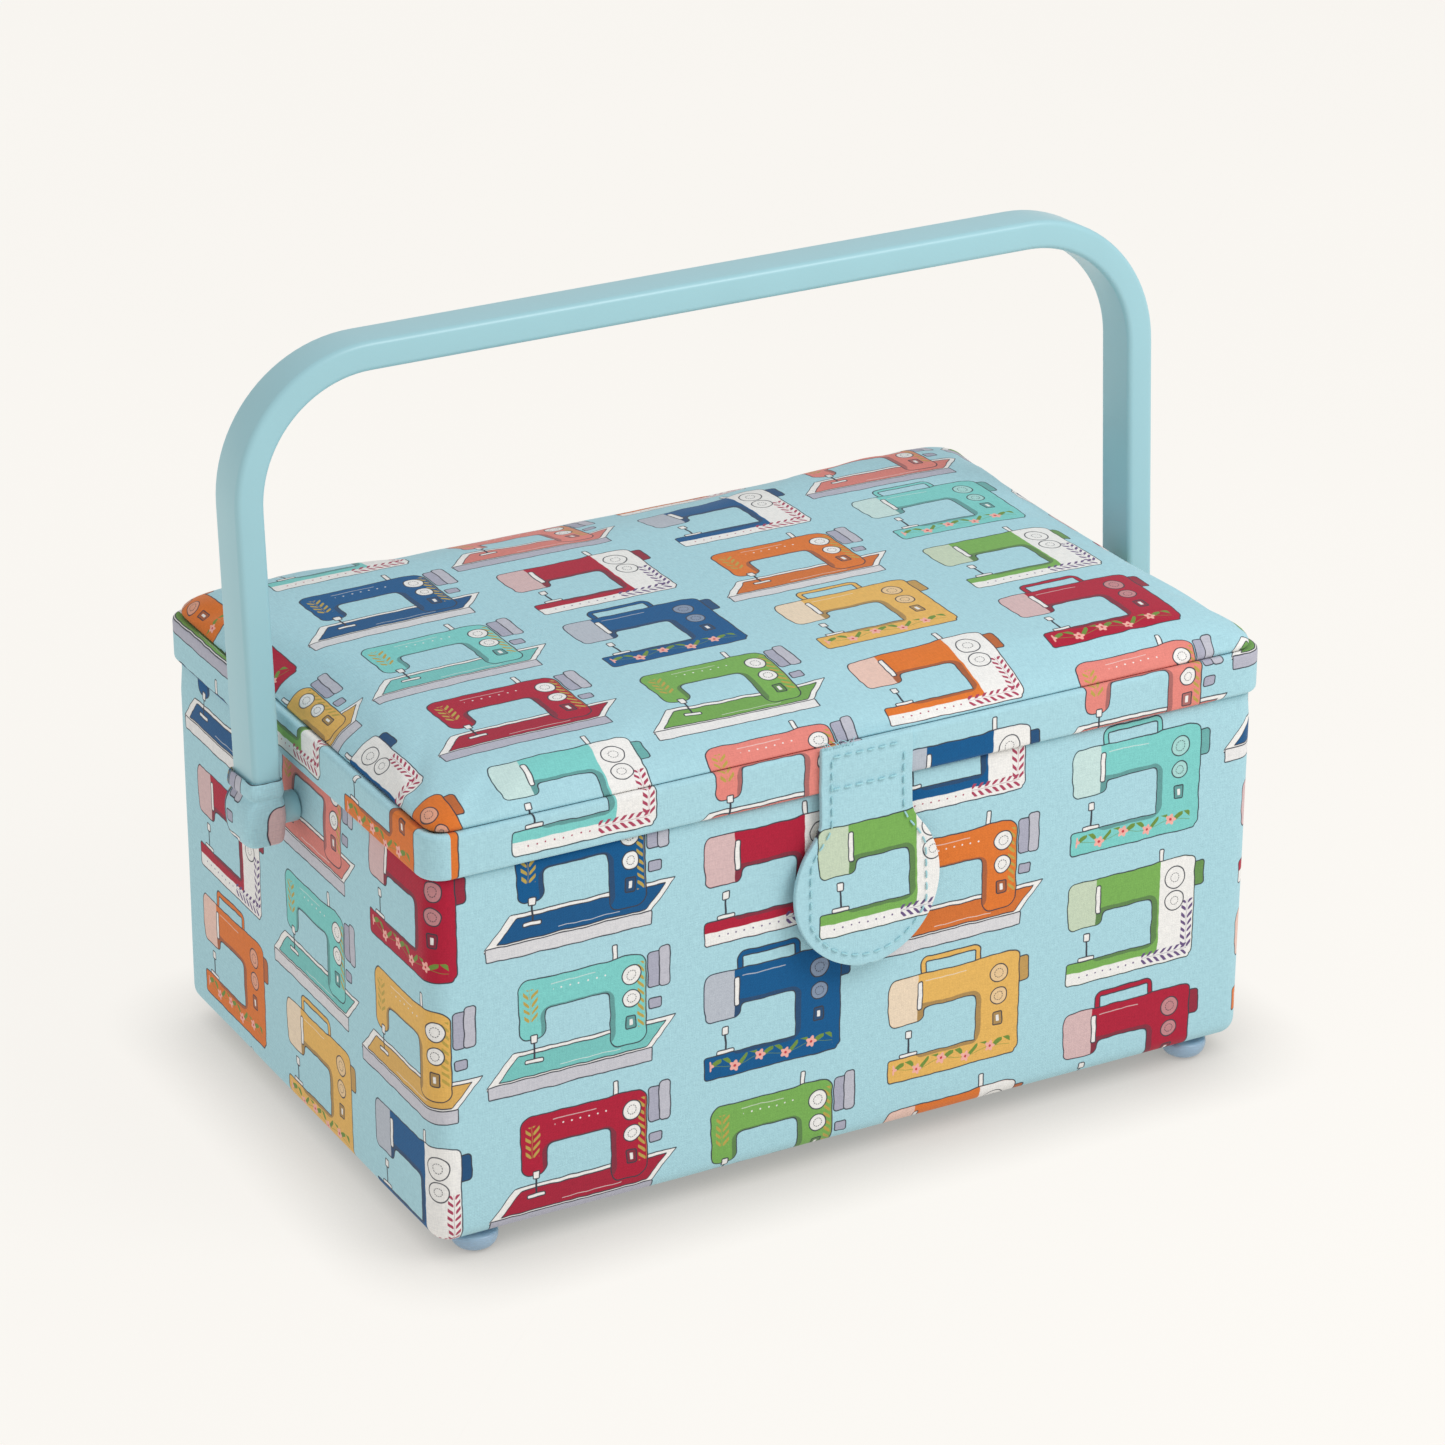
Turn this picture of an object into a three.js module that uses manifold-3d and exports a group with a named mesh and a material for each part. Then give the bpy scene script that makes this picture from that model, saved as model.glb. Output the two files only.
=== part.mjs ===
// A fabric-covered sewing box: chipboard body on four feet, padded hinged lid, standing
// carry handle, closure tab with a press stud, and two lift-out compartment trays inside.
// Millimetres. +Z up, the front (closure tab side) faces -Y, +X is right seen from the front.
// The origin is under the middle of the box, level with the underside of the feet.
import * as THREE from "three";
import { mergeVertices } from "three/addons/utils/BufferGeometryUtils.js";
import Module from "manifold-3d";

// ---- Driving dimensions ----

const FABRIC = 0.8; // cover and lining cloth, with its thin wadding
const BOARD = 2.5; // chipboard of the walls, base and lid
const GLUE = 0.1; // gap left between glued layers
const CORNER_STEPS = 4; // segments in each rounded corner
const CORNER_ROOM = 2.8; // how far the wall boards stop short of the cover's corner curves
const SLACK = 0.3; // gap round a moving or cut piece
const THROUGH = 160; // half length of a bore cut right across the box

const BODY = { halfW: 129, halfD: 84, corner: 6, base: 6.1, top: 115, edgeRoll: 5, hem: 14 };
const LID = { halfW: 129.4, halfD: 84.6, corner: 6, bottom: 115.4, rimTop: 128.4, skirt: 3.4 };
const CROWN = [
  { inset: 0.9, z: 128.6, corner: 6 },
  { inset: 1.5, z: 130.4, corner: 7 },
  { inset: 3.2, z: 132.6, corner: 9 },
  { inset: 6.5, z: 134.8, corner: 12 },
  { inset: 12, z: 136.5, corner: 16 },
  { inset: 22, z: 137.7, corner: 22 },
  { inset: 40, z: 138.3, corner: 28 },
];
const FOOT = { x: 114.5, y: 76, radius: 6.6, flat: 3.2, top: 5.2, spigot: 2, spigotTop: 9.3 };
const TRAY = {
  inner: 1,
  outer: 121,
  halfD: 78.2,
  bottom: 89.5,
  height: 22,
  wall: 1.5,
  floor: 1.4,
  plate: 1.4,
  corner: 7,
  divide: { left: { column: 0, row: 27 }, right: { column: -16, row: 27 } },
};
const LEDGE = { halfW: 119, depth: 5, bottom: 86, top: 89.2 };

const PIVOT = { y: 0, z: 103, shaft: 2.5, hole: 2.75, washer: 4.4, headRadius: 5, capRadius: 7 };
const HANDLE = { legX: 140, thick: 8.3, wide: 15.2, arm: 128.8, bend: 41.6, edge: 1.7, lean: 3.5 };
const BOOT = { inX: 134.9, outX: 147.8, top: 11.5, bottom: -8.5, halfTop: 9.2, halfEnd: 8, wall: 1 };

const HINGE = {
  x: 78,
  y: 87,
  z: 115.2,
  barrel: 2.2,
  pin: 1.1,
  bore: 1.16,
  width: 24,
  leaf: 1,
  clear: 2.6,
  bodyFoot: 99,
  lidTop: 127,
};
const SCREW = { pitch: 15, head: 1.9, shank: 0.9, hole: 1.0, bodyZ: 105.5, lidZ: 122.5 };
const TAB = {
  y: -85.8,
  thick: 1.6,
  neck: 14.2,
  neckEnd: -7,
  round: 23.1,
  shoulder: 28,
  top: 129.6,
  foldZ: 117,
  foldRoom: 1.8,
  end: 61.5,
  reach: 89.2,
};
const STUD = { z: 84, socket: 6.5, hole: 2.6, disc: 5.5, pin: 2 };
const POCKET = { x: -40, y: -4, halfW: 72, halfD: 38, depth: 6, wall: 0.9 };
const CUSHION = { x: 78, y: -4, halfW: 30, halfD: 30, depth: 6 };

// ---- Solid modelling helpers ----

const wasm = await Module();
wasm.setup();

function toSolid(geometry) {
  const bare = geometry.clone();
  bare.deleteAttribute("normal");
  bare.deleteAttribute("uv");
  const merged = mergeVertices(bare, 1e-4);
  return new wasm.Manifold(
    new wasm.Mesh({
      numProp: 3,
      vertProperties: new Float32Array(merged.attributes.position.array),
      triVerts: new Uint32Array(merged.index.array),
    }),
  );
}

function toGeometry(solid) {
  const mesh = solid.getMesh();
  const geometry = new THREE.BufferGeometry();
  geometry.setAttribute("position", new THREE.BufferAttribute(mesh.vertProperties, 3));
  geometry.setIndex(new THREE.BufferAttribute(mesh.triVerts, 1));
  return geometry;
}

const join = (...parts) => toGeometry(parts.map(toSolid).reduce((a, b) => a.add(b)));
const carve = (base, ...cuts) =>
  toGeometry(cuts.map(toSolid).reduce((a, b) => a.subtract(b), toSolid(base)));

// One rounded-rectangle ring of points, anticlockwise seen from above.
function ring(halfW, halfD, corner, z, cx = 0, cy = 0) {
  const points = [];
  for (let quarter = 0; quarter < 4; quarter++) {
    const sx = quarter === 0 || quarter === 3 ? 1 : -1;
    const sy = quarter < 2 ? 1 : -1;
    for (let i = 0; i <= CORNER_STEPS; i++) {
      const a = ((quarter + i / CORNER_STEPS) * Math.PI) / 2;
      const x = cx + sx * (halfW - corner) + corner * Math.cos(a);
      const y = cy + sy * (halfD - corner) + corner * Math.sin(a);
      points.push(new THREE.Vector3(x, y, z));
    }
  }
  return points;
}

// A skin through rings of equal point count: end caps by default, joined round on itself if looped.
function skin(rings, looped = false) {
  const n = rings[0].length;
  const positions = rings.flat().flatMap((p) => [p.x, p.y, p.z]);
  const index = [];
  const spans = looped ? rings.length : rings.length - 1;
  for (let k = 0; k < spans; k++) {
    const low = k * n;
    const high = ((k + 1) % rings.length) * n;
    for (let i = 0; i < n; i++) {
      const j = (i + 1) % n;
      index.push(low + i, low + j, high + j, low + i, high + j, high + i);
    }
  }
  if (!looped) {
    const last = (rings.length - 1) * n;
    for (let i = 1; i < n - 1; i++) {
      index.push(0, i + 1, i);
      index.push(last, last + i, last + i + 1);
    }
  }
  const geometry = new THREE.BufferGeometry();
  geometry.setAttribute("position", new THREE.Float32BufferAttribute(positions, 3));
  geometry.setIndex(index);
  return geometry;
}

// Rings that follow a box's outline at the given [inset, z] steps.
function steps(box, profile) {
  return profile.map(([inset, z]) =>
    ring(box.halfW - inset, box.halfD - inset, Math.max(box.corner - inset, 1), z),
  );
}

function slab(x0, x1, y0, y1, z0, z1) {
  const box = new THREE.BoxGeometry(x1 - x0, y1 - y0, z1 - z0);
  return box.translate((x0 + x1) / 2, (y0 + y1) / 2, (z0 + z1) / 2);
}

const ordered = (a, b) => [Math.min(a, b), Math.max(a, b)];

// A cylinder from (x0, y, z) to (x1, y, z).
function rodX(radius, x0, x1, y, z, sides = 20) {
  const rod = new THREE.CylinderGeometry(radius, radius, x1 - x0, sides);
  return rod.rotateZ(-Math.PI / 2).translate((x0 + x1) / 2, y, z);
}

function rodY(radius, y0, y1, x, z, sides = 20) {
  return new THREE.CylinderGeometry(radius, radius, y1 - y0, sides).translate(x, (y0 + y1) / 2, z);
}

function rodZ(radius, z0, z1, x, y, sides = 12) {
  const rod = new THREE.CylinderGeometry(radius, radius, z1 - z0, sides);
  return rod.rotateX(Math.PI / 2).translate(x, y, (z0 + z1) / 2);
}

// ---- Repeated positions ----

const FEET = [
  ["front_left", -1, -1],
  ["front_right", 1, -1],
  ["back_left", -1, 1],
  ["back_right", 1, 1],
].map(([place, sx, sy]) => ({ place, x: sx * FOOT.x, y: sy * FOOT.y }));
const SIDES = [
  ["left", -1],
  ["right", 1],
];
const footHoles = () =>
  FEET.map((f) => rodZ(FOOT.spigot + GLUE, FOOT.top - 1, FOOT.spigotTop + 1, f.x, f.y));
const pivotHoles = () => [rodX(PIVOT.hole, -THROUGH, THROUGH, PIVOT.y, PIVOT.z)];
const SCREW_XS = SIDES.flatMap(([, s]) => [-1, 1].map((t) => s * HINGE.x + (t * SCREW.pitch) / 2));
const screwHoles = (z) => SCREW_XS.map((x) => rodY(SCREW.hole, BODY.halfD - 5, HINGE.y + 5, x, z, 12));

// ---- Body ----

const boardFace = FABRIC + GLUE; // inset of the boards' outer faces
const liningFace = boardFace + BOARD + GLUE; // inset of the lining's outer face

function bottomBoard() {
  const z = BODY.base + FABRIC + GLUE;
  const plan = steps(BODY, [
    [BODY.edgeRoll, z],
    [boardFace + BOARD + GLUE, z + 0.8],
    [boardFace + BOARD + GLUE, z + BOARD],
  ]);
  return carve(skin(plan), ...footHoles());
}

// A straight wall board with its outer vertical edges planed off to fit inside the cover's corners.
function longWall(side) {
  const outer = BODY.halfD - boardFace;
  const half = BODY.halfW - boardFace - CORNER_ROOM;
  const shape = new THREE.Shape();
  shape.moveTo(-half, outer - BOARD);
  shape.lineTo(half, outer - BOARD);
  shape.lineTo(half - BOARD, outer);
  shape.lineTo(BOARD - half, outer);
  shape.closePath();
  const height = BODY.top - FABRIC - GLUE - BODY.base - BODY.edgeRoll;
  const wall = new THREE.ExtrudeGeometry(shape, { depth: height, bevelEnabled: false });
  wall.translate(0, 0, BODY.base + BODY.edgeRoll);
  return side > 0 ? carve(wall, ...screwHoles(SCREW.bodyZ)) : wall.rotateZ(Math.PI);
}

function shortWall(side) {
  const outer = BODY.halfW - boardFace;
  const half = BODY.halfD - boardFace - BOARD - CORNER_ROOM;
  const x = ordered(side * outer, side * (outer - BOARD));
  const wall = slab(...x, -half, half, BODY.base + BODY.edgeRoll, BODY.top - FABRIC - GLUE);
  return carve(wall, ...pivotHoles());
}

// The outer cloth: up the walls, rolled under the base and turned in to a hem.
function bodyCover() {
  const { base, top, edgeRoll, hem } = BODY;
  const roll = (radius, i) => {
    const a = (i / 4) * (Math.PI / 2);
    return [edgeRoll - radius * Math.sin(a), base + edgeRoll - radius * Math.cos(a)];
  };
  const outside = [0, 1, 2, 3, 4].map((i) => roll(edgeRoll, i));
  const inside = [4, 3, 2, 1, 0].map((i) => roll(edgeRoll - FABRIC, i));
  const profile = [
    [hem, base],
    ...outside,
    [0, top],
    [FABRIC, top],
    ...inside,
    [hem, base + FABRIC],
  ];
  const cloth = skin(steps(BODY, profile), true);
  return carve(cloth, ...footHoles(), ...pivotHoles(), ...screwHoles(SCREW.bodyZ));
}

function baseCover() {
  const plan = steps({ ...BODY, corner: 13 }, [
    [7, BODY.base - 0.7],
    [7, BODY.base - GLUE],
  ]);
  return carve(skin(plan), ...footHoles());
}

// The inner cloth, turned out over the top edge of the wall boards.
function wallLining() {
  const { top, base } = BODY;
  const foot = base + FABRIC + GLUE + BOARD + GLUE;
  const tube = steps(BODY, [
    [liningFace, foot],
    [liningFace, top - FABRIC],
    [boardFace, top - FABRIC],
    [boardFace, top],
    [liningFace + FABRIC, top],
    [liningFace + FABRIC, foot],
  ]);
  return carve(skin(tube, true), ...pivotHoles());
}

function floorPad() {
  const z = BODY.base + FABRIC + GLUE + BOARD + GLUE;
  const edge = liningFace + FABRIC + 0.4;
  return skin(
    steps(BODY, [
      [edge + 0.8, z],
      [edge, z + 0.8],
      [edge, z + 1.6],
      [edge + 1.2, z + 2.6],
      [edge + 6, z + 3],
    ]),
  );
}

function trayLedge(side) {
  const inner = BODY.halfD - liningFace - FABRIC - GLUE;
  const y = ordered(side * inner, side * (inner - LEDGE.depth));
  return slab(-LEDGE.halfW, LEDGE.halfW, ...y, LEDGE.bottom, LEDGE.top);
}

function foot() {
  const { radius, flat, top, spigot, spigotTop } = FOOT;
  const outline = [
    [0, 0],
    [flat, 0],
    [radius - 1.6, 0.7],
    [radius - 0.5, 1.9],
    [radius, 3.4],
    [radius, top],
    [spigot, top],
    [spigot, spigotTop],
    [0, spigotTop],
  ];
  const lathe = new THREE.LatheGeometry(
    outline.map(([r, z]) => new THREE.Vector2(r, z)),
    20,
  );
  return lathe.rotateX(Math.PI / 2);
}

// ---- Handle pivots, drawn about the pivot axis ----

const legOut = HANDLE.legX + HANDLE.thick / 2;
const legIn = HANDLE.legX - HANDLE.thick / 2;
const inside = BODY.halfW - liningFace - FABRIC; // the lining's inner face on the ends
const across = (radius, x0, x1, sides) => rodX(radius, ...ordered(x0, x1), 0, 0, sides);

// Cap outside the handle leg, shaft through the leg, the spacer and the box wall.
function pivotBolt(side) {
  const shaft = across(PIVOT.shaft, side * (inside - 1.7), side * (legOut + 1));
  const head = across(PIVOT.headRadius, side * (legOut + SLACK), side * (legOut + 1.9));
  return join(shaft, head);
}

// Flat retaining cap inside the box, round the end of the bolt.
function pivotCap(side) {
  const disc = across(PIVOT.capRadius, side * (inside - GLUE), side * (inside - GLUE - 1.6));
  return carve(disc, across(PIVOT.shaft + 0.05, -THROUGH, THROUGH));
}

// Spacer between the box wall and the handle leg.
function pivotWasher(side) {
  const disc = across(PIVOT.washer, side * (BODY.halfW + SLACK), side * (legIn - SLACK));
  return carve(disc, across(PIVOT.hole, -THROUGH, THROUGH));
}

// ---- Handle, drawn upright with the pivot axis at z = 0 ----

// Half of the handle's centre line, from the pivot up and round the bend to the middle of the bar.
function bailStations() {
  const radius = HANDLE.bend - HANDLE.thick / 2;
  const bar = HANDLE.arm - HANDLE.thick / 2;
  const bendX = HANDLE.legX - radius;
  const stations = [{ x: HANDLE.legX, z: 0, turn: 0 }];
  const bendSteps = 12;
  for (let i = 0; i <= bendSteps; i++) {
    const turn = (i / bendSteps) * (Math.PI / 2);
    const x = bendX + radius * Math.cos(turn);
    stations.push({ x, z: bar - radius + radius * Math.sin(turn), turn });
  }
  return stations;
}

// The handle's section at one station: a rounded oblong square to the centre line.
function bailSection({ x, z, turn }) {
  const section = ring(HANDLE.thick / 2, HANDLE.wide / 2, HANDLE.edge, 0);
  return section.map(
    (p) => new THREE.Vector3(x + p.x * Math.cos(turn), p.y, z + p.x * Math.sin(turn)),
  );
}

function handleBail() {
  const right = bailStations();
  const left = right.map((s) => ({ x: -s.x, z: s.z, turn: Math.PI - s.turn })).reverse();
  const rail = skin([...right, ...left].map(bailSection));
  const eyes = SIDES.map(([, side]) => across(HANDLE.wide / 2, side * legIn, side * legOut, 32));
  return carve(join(rail, ...eyes), across(PIVOT.hole, -THROUGH, THROUGH));
}

// Cloth cuff round the foot of a handle leg: hemmed band at the top, tapering to the bottom.
function boot(side) {
  const middle = (BOOT.inX + BOOT.outX) / 2;
  const halfX = (BOOT.outX - BOOT.inX) / 2;
  const levels = [
    [BOOT.bottom, -2.6, BOOT.halfEnd - 2.5],
    [BOOT.bottom + 1.5, -1, BOOT.halfEnd],
    [BOOT.top - 5.4, -0.4, BOOT.halfTop - 0.4],
    [BOOT.top - 5, 0, BOOT.halfTop],
    [BOOT.top - 0.6, 0, BOOT.halfTop],
    [BOOT.top, -0.5, BOOT.halfTop - 0.5],
  ];
  const shell = skin(levels.map(([z, dx, half]) => ring(halfX + dx, half, 2, z, side * middle)));
  const legX = ordered(side * (legIn - SLACK), side * (legOut + SLACK));
  const legHalf = HANDLE.wide / 2 + SLACK;
  const room = slab(...legX, -legHalf, legHalf, 0, BOOT.top + 1);
  const end = across(legHalf, ...legX, 32);
  const bolt = across(PIVOT.headRadius + SLACK, side * (BODY.halfW + 1), side * (BOOT.outX - BOOT.wall));
  return carve(shell, join(room, end, bolt));
}

// ---- Lid ----

function lidRimFrame() {
  const inset = boardFace;
  const { bottom, rimTop } = LID;
  const low = bottom + FABRIC + GLUE;
  const high = rimTop - FABRIC;
  const profile = [
    [inset + BOARD, low],
    [inset, low],
    [inset, high],
    [inset + BOARD, high],
  ];
  return carve(skin(steps(LID, profile), true), ...screwHoles(SCREW.lidZ));
}

function lidTopBoard() {
  const inset = boardFace + BOARD + GLUE;
  const high = LID.rimTop - FABRIC;
  return skin(
    steps(LID, [
      [inset, high - BOARD],
      [inset, high],
    ]),
  );
}

function lidRimCover() {
  const { bottom, rimTop, skirt } = LID;
  const profile = [
    [skirt, bottom],
    [1.2, bottom],
    [0.35, bottom + 0.35],
    [0, bottom + 1.2],
    [0, rimTop - 1.2],
    [0.35, rimTop - 0.35],
    [1.2, rimTop],
    [skirt, rimTop],
    [skirt, rimTop - FABRIC + GLUE],
    [FABRIC, rimTop - FABRIC + GLUE],
    [FABRIC, bottom + FABRIC],
    [skirt, bottom + FABRIC],
  ];
  return carve(skin(steps(LID, profile), true), ...screwHoles(SCREW.lidZ));
}

// The crowned outline of the lid's top, taken in by the given depth.
function crownRings(depth) {
  return CROWN.map(({ inset, z, corner }, i) => {
    const drop = i === 0 ? 0 : depth;
    return ring(LID.halfW - inset - depth, LID.halfD - inset - depth, corner, z - drop);
  });
}

function lidTopCover() {
  const inside = crownRings(FABRIC).reverse();
  return skin([...inside, ...crownRings(0)]);
}

const lidPad = () => skin(crownRings(FABRIC + 0.2));

function lidLining() {
  const inset = boardFace + BOARD + GLUE;
  const high = LID.rimTop - FABRIC - BOARD - GLUE;
  const low = LID.bottom + FABRIC + GLUE;
  return skin(
    steps(LID, [
      [inset + FABRIC, high - FABRIC],
      [inset + FABRIC, low],
      [inset, low],
      [inset, high],
    ]),
  );
}

const lidInside = LID.rimTop - FABRIC - BOARD - GLUE - FABRIC - GLUE;

// A flat pocket on the lid lining, full behind its cloth, with its mouth towards the front.
function lidPocket() {
  const { x, y, halfW, halfD, depth, wall } = POCKET;
  const levels = [
    [0, halfW - 4, halfD - 4],
    [1.2, halfW - 1.2, halfD - 1.2],
    [depth, halfW, halfD],
  ];
  const outside = levels.map(([up, w, d]) => ring(w, d, 5, lidInside - depth + up, x, y));
  const room = [
    ring(halfW - 4.5, halfD - 4.5, 4, lidInside - depth + wall, x, y),
    ring(halfW - wall - 1, halfD - wall - 1, 4, lidInside - depth + 1.2 + wall, x, y),
    ring(halfW - wall, halfD - wall, 4, lidInside + 1, x, y),
  ];
  const mouth = slab(
    x - halfW + 6,
    x + halfW - 6,
    y - halfD - 2,
    y - halfD + 12,
    lidInside - depth + wall,
    lidInside + 1,
  );
  return carve(skin(outside), join(skin(room), mouth));
}

// Elastic band across the pocket's mouth, on the outside of its cloth.
function pocketElastic() {
  const { x, y, halfW, halfD, depth } = POCKET;
  const z = lidInside - depth - GLUE;
  return slab(x - halfW + 8, x + halfW - 8, y - halfD + 4.5, y - halfD + 10.5, z - 0.7, z);
}

function pincushion() {
  const { x, y, halfW, halfD, depth } = CUSHION;
  const levels = [
    [0, 14, 14],
    [0.8, 21, 21],
    [2, 26, 26],
    [3.6, halfW - 0.8, halfD - 0.8],
    [depth - 0.6, halfW, halfD],
    [depth, halfW - 0.8, halfD - 0.8],
  ];
  return skin(levels.map(([up, w, d]) => ring(w, d, Math.min(w, d), lidInside - depth + up, x, y)));
}

// ---- Lid hinges ----

// A leaf with its own knuckles, drawn about the pin; the barrel is split in three along X.
function hingeLeaf(onLid) {
  const { y, z, barrel, bore, width, leaf, clear } = HINGE;
  const face = (onLid ? LID.halfD : BODY.halfD) + GLUE - y;
  const plate = onLid
    ? slab(-width / 2, width / 2, face, face + leaf, clear, HINGE.lidTop - z)
    : slab(-width / 2, width / 2, face, face + leaf, HINGE.bodyFoot - z, -clear);
  const third = width / 3;
  const gap = 0.15;
  const knuckles = onLid
    ? [[gap - third / 2, third / 2 - gap]]
    : [
        [-width / 2, -third / 2 - gap],
        [third / 2 + gap, width / 2],
      ];
  const lug = ([a, b]) =>
    onLid ? slab(a, b, face, face + leaf, 0, clear + 0.4) : slab(a, b, face, 0, -clear - 0.8, -1.2);
  const barrels = knuckles.map(([a, b]) => rodX(barrel, a, b, 0, 0));
  const blank = join(plate, ...barrels, ...knuckles.map(lug));
  const screwZ = (onLid ? SCREW.lidZ : SCREW.bodyZ) - z;
  const holes = [-1, 1].map((t) => rodY(SCREW.hole, -5, 5, (t * SCREW.pitch) / 2, screwZ, 12));
  return carve(blank, rodX(bore, -width, width, 0, 0), ...holes);
}

const hingePin = () => rodX(HINGE.pin, -HINGE.width / 2 - 0.4, HINGE.width / 2 + 0.4, 0, 0);

const screwFace = (onLid) => (onLid ? LID.halfD : BODY.halfD) + GLUE + HINGE.leaf;

// Domed screw along Y, its head standing on y = 0 and its shank going down into the board.
function hingeScrew() {
  const outline = [
    [0, -3.9],
    [SCREW.shank, -3.4],
    [SCREW.shank, 0.05],
    [SCREW.head, 0.05],
    [SCREW.head * 0.7, 0.6],
    [0, 0.8],
  ];
  return new THREE.LatheGeometry(
    outline.map(([r, h]) => new THREE.Vector2(r, h)),
    12,
  );
}

// ---- Closure tab ----

// Lean, in degrees, that brings the tab's round end out to its reach.
const tabLean = THREE.MathUtils.radToDeg(
  Math.asin((TAB.reach + TAB.y - TAB.thick / 2) / (TAB.foldZ - TAB.end)),
);

function tabAnchor() {
  const half = TAB.thick / 2;
  const bottom = TAB.foldZ + TAB.foldRoom;
  return slab(-TAB.neck, TAB.neck, TAB.y - half, TAB.y + half, bottom, TAB.top);
}

// Neck widening in a soft curve into the round end, hanging from the fold line at z = 0.
function tabFlap() {
  const { neck, neckEnd, round, thick } = TAB;
  const centre = TAB.end + round - TAB.foldZ;
  const turn = THREE.MathUtils.degToRad(TAB.shoulder);
  const x = round * Math.cos(turn); // where the neck's curve meets the round end
  const z = centre + round * Math.sin(turn);
  const shape = new THREE.Shape();
  shape.moveTo(-neck, -SLACK);
  shape.lineTo(-neck, neckEnd);
  shape.bezierCurveTo(-neck - 0.4, neckEnd - 5, -x + 2.5, z + 5, -x, z);
  shape.absarc(0, centre, round, Math.PI - turn, 2 * Math.PI + turn, false);
  shape.bezierCurveTo(x - 2.5, z + 5, neck + 0.4, neckEnd - 5, neck, neckEnd);
  shape.lineTo(neck, -SLACK);
  shape.closePath();
  const plate = new THREE.ExtrudeGeometry(shape, {
    depth: thick,
    bevelEnabled: false,
    curveSegments: 14,
  });
  return plate.rotateX(Math.PI / 2).translate(0, thick / 2, 0);
}

// Press stud half on the back of the tab: a disc with a blunt pin towards the box.
function snapStud() {
  const z = STUD.z - TAB.foldZ;
  const back = TAB.thick / 2 + 0.05;
  const disc = rodY(STUD.disc, back, back + 0.7, 0, z);
  const pin = rodY(STUD.pin, back + 0.5, back + 1.7, 0, z, 16);
  return join(disc, pin);
}

// Press stud half on the front wall, with a shallow round seat for the pin.
function snapSocket() {
  const face = -BODY.halfD - 0.05;
  const disc = rodY(STUD.socket, face - 0.9, face, 0, STUD.z);
  return carve(disc, rodY(STUD.hole, face - 2, face - 0.4, 0, STUD.z));
}

// ---- Trays, drawn about their own middle and standing on z = 0 ----

const trayHalfW = (TRAY.outer - TRAY.inner) / 2;
const trayFoot = TRAY.wall + 1; // inset of the tray's room at its floor, where the walls are thickest
const trayRoom = trayFoot + SLACK; // inset of the dividers' ends

// An open tray with thin drafted walls and a thicker rolled rim.
function tray() {
  const { halfD, height, wall, floor, corner } = TRAY;
  const level = (inset, z) => ring(trayHalfW - inset, halfD - inset, Math.max(corner - inset, 2), z);
  return skin([
    level(1.6, 0),
    level(0.9, 0.7),
    level(0.7, height - 2),
    level(0, height - 1.8),
    level(0, height),
    level(wall + 0.7, height),
    level(trayFoot, floor),
  ]);
}

function dividerSlab(x0, x1, y0, y1) {
  return slab(x0, x1, y0, y1, TRAY.floor + GLUE, TRAY.height - 1.5);
}

function longDivider({ column }) {
  const half = TRAY.halfD - trayRoom;
  return dividerSlab(column - TRAY.plate / 2, column + TRAY.plate / 2, -half, half);
}

// A short divider from the long one to the right-hand wall, in the front or the back part.
function crossDivider({ column, row }, end) {
  const y = end * row;
  const start = column + TRAY.plate / 2 + SLACK;
  return dividerSlab(start, trayHalfW - trayRoom, y - TRAY.plate / 2, y + TRAY.plate / 2);
}

// ---- Looks and scene graph ----

const LOOKS = {
  cloth: { color: "#a9d6de", roughness: 0.9, metalness: 0 },
  lining: { color: "#ecebe4", roughness: 0.9, metalness: 0 },
  card: { color: "#b3a284", roughness: 0.95, metalness: 0 },
  foam: { color: "#f0ead8", roughness: 1, metalness: 0 },
  plastic: { color: "#9fcfd8", roughness: 0.45, metalness: 0 },
  foot: { color: "#a8cfe6", roughness: 0.3, metalness: 0 },
  metal: { color: "#c3c7ca", roughness: 0.35, metalness: 1 },
  frosted: { color: "#dfe9ec", roughness: 0.35, metalness: 0 },
  elastic: { color: "#f4f4f2", roughness: 0.85, metalness: 0 },
};

function piece(name, geometry, look) {
  const mesh = new THREE.Mesh(geometry, new THREE.MeshStandardMaterial(LOOKS[look]));
  mesh.name = name;
  return mesh;
}

function at(position, ...children) {
  const group = new THREE.Group();
  group.position.set(...position);
  return group.add(...children);
}

// A group at a hinge line whose children are drawn upright and lean back by the given angle.
function leaning(position, degrees, ...children) {
  const group = at(position, ...children);
  group.rotation.x = -THREE.MathUtils.degToRad(degrees);
  return group;
}

function boxBody() {
  const body = new THREE.Group();
  body.add(piece("bottom_board", bottomBoard(), "card"));
  body.add(piece("front_wall_board", longWall(-1), "card"));
  body.add(piece("back_wall_board", longWall(1), "card"));
  body.add(piece("body_cover", bodyCover(), "cloth"));
  body.add(piece("base_cover", baseCover(), "cloth"));
  body.add(piece("wall_lining", wallLining(), "lining"));
  body.add(piece("floor_pad", floorPad(), "lining"));
  body.add(piece("front_tray_ledge", trayLedge(-1), "card"));
  body.add(piece("back_tray_ledge", trayLedge(1), "card"));
  body.add(piece("snap_socket", snapSocket(), "metal"));
  for (const { place, x, y } of FEET) body.add(at([x, y, 0], piece(`${place}_foot`, foot(), "foot")));
  for (const [name, side] of SIDES) {
    body.add(piece(`${name}_wall_board`, shortWall(side), "card"));
    body.add(
      at(
        [0, PIVOT.y, PIVOT.z],
        piece(`${name}_pivot_bolt`, pivotBolt(side), "metal"),
        piece(`${name}_pivot_cap`, pivotCap(side), "metal"),
        piece(`${name}_pivot_washer`, pivotWasher(side), "plastic"),
      ),
    );
  }
  return body;
}

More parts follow.
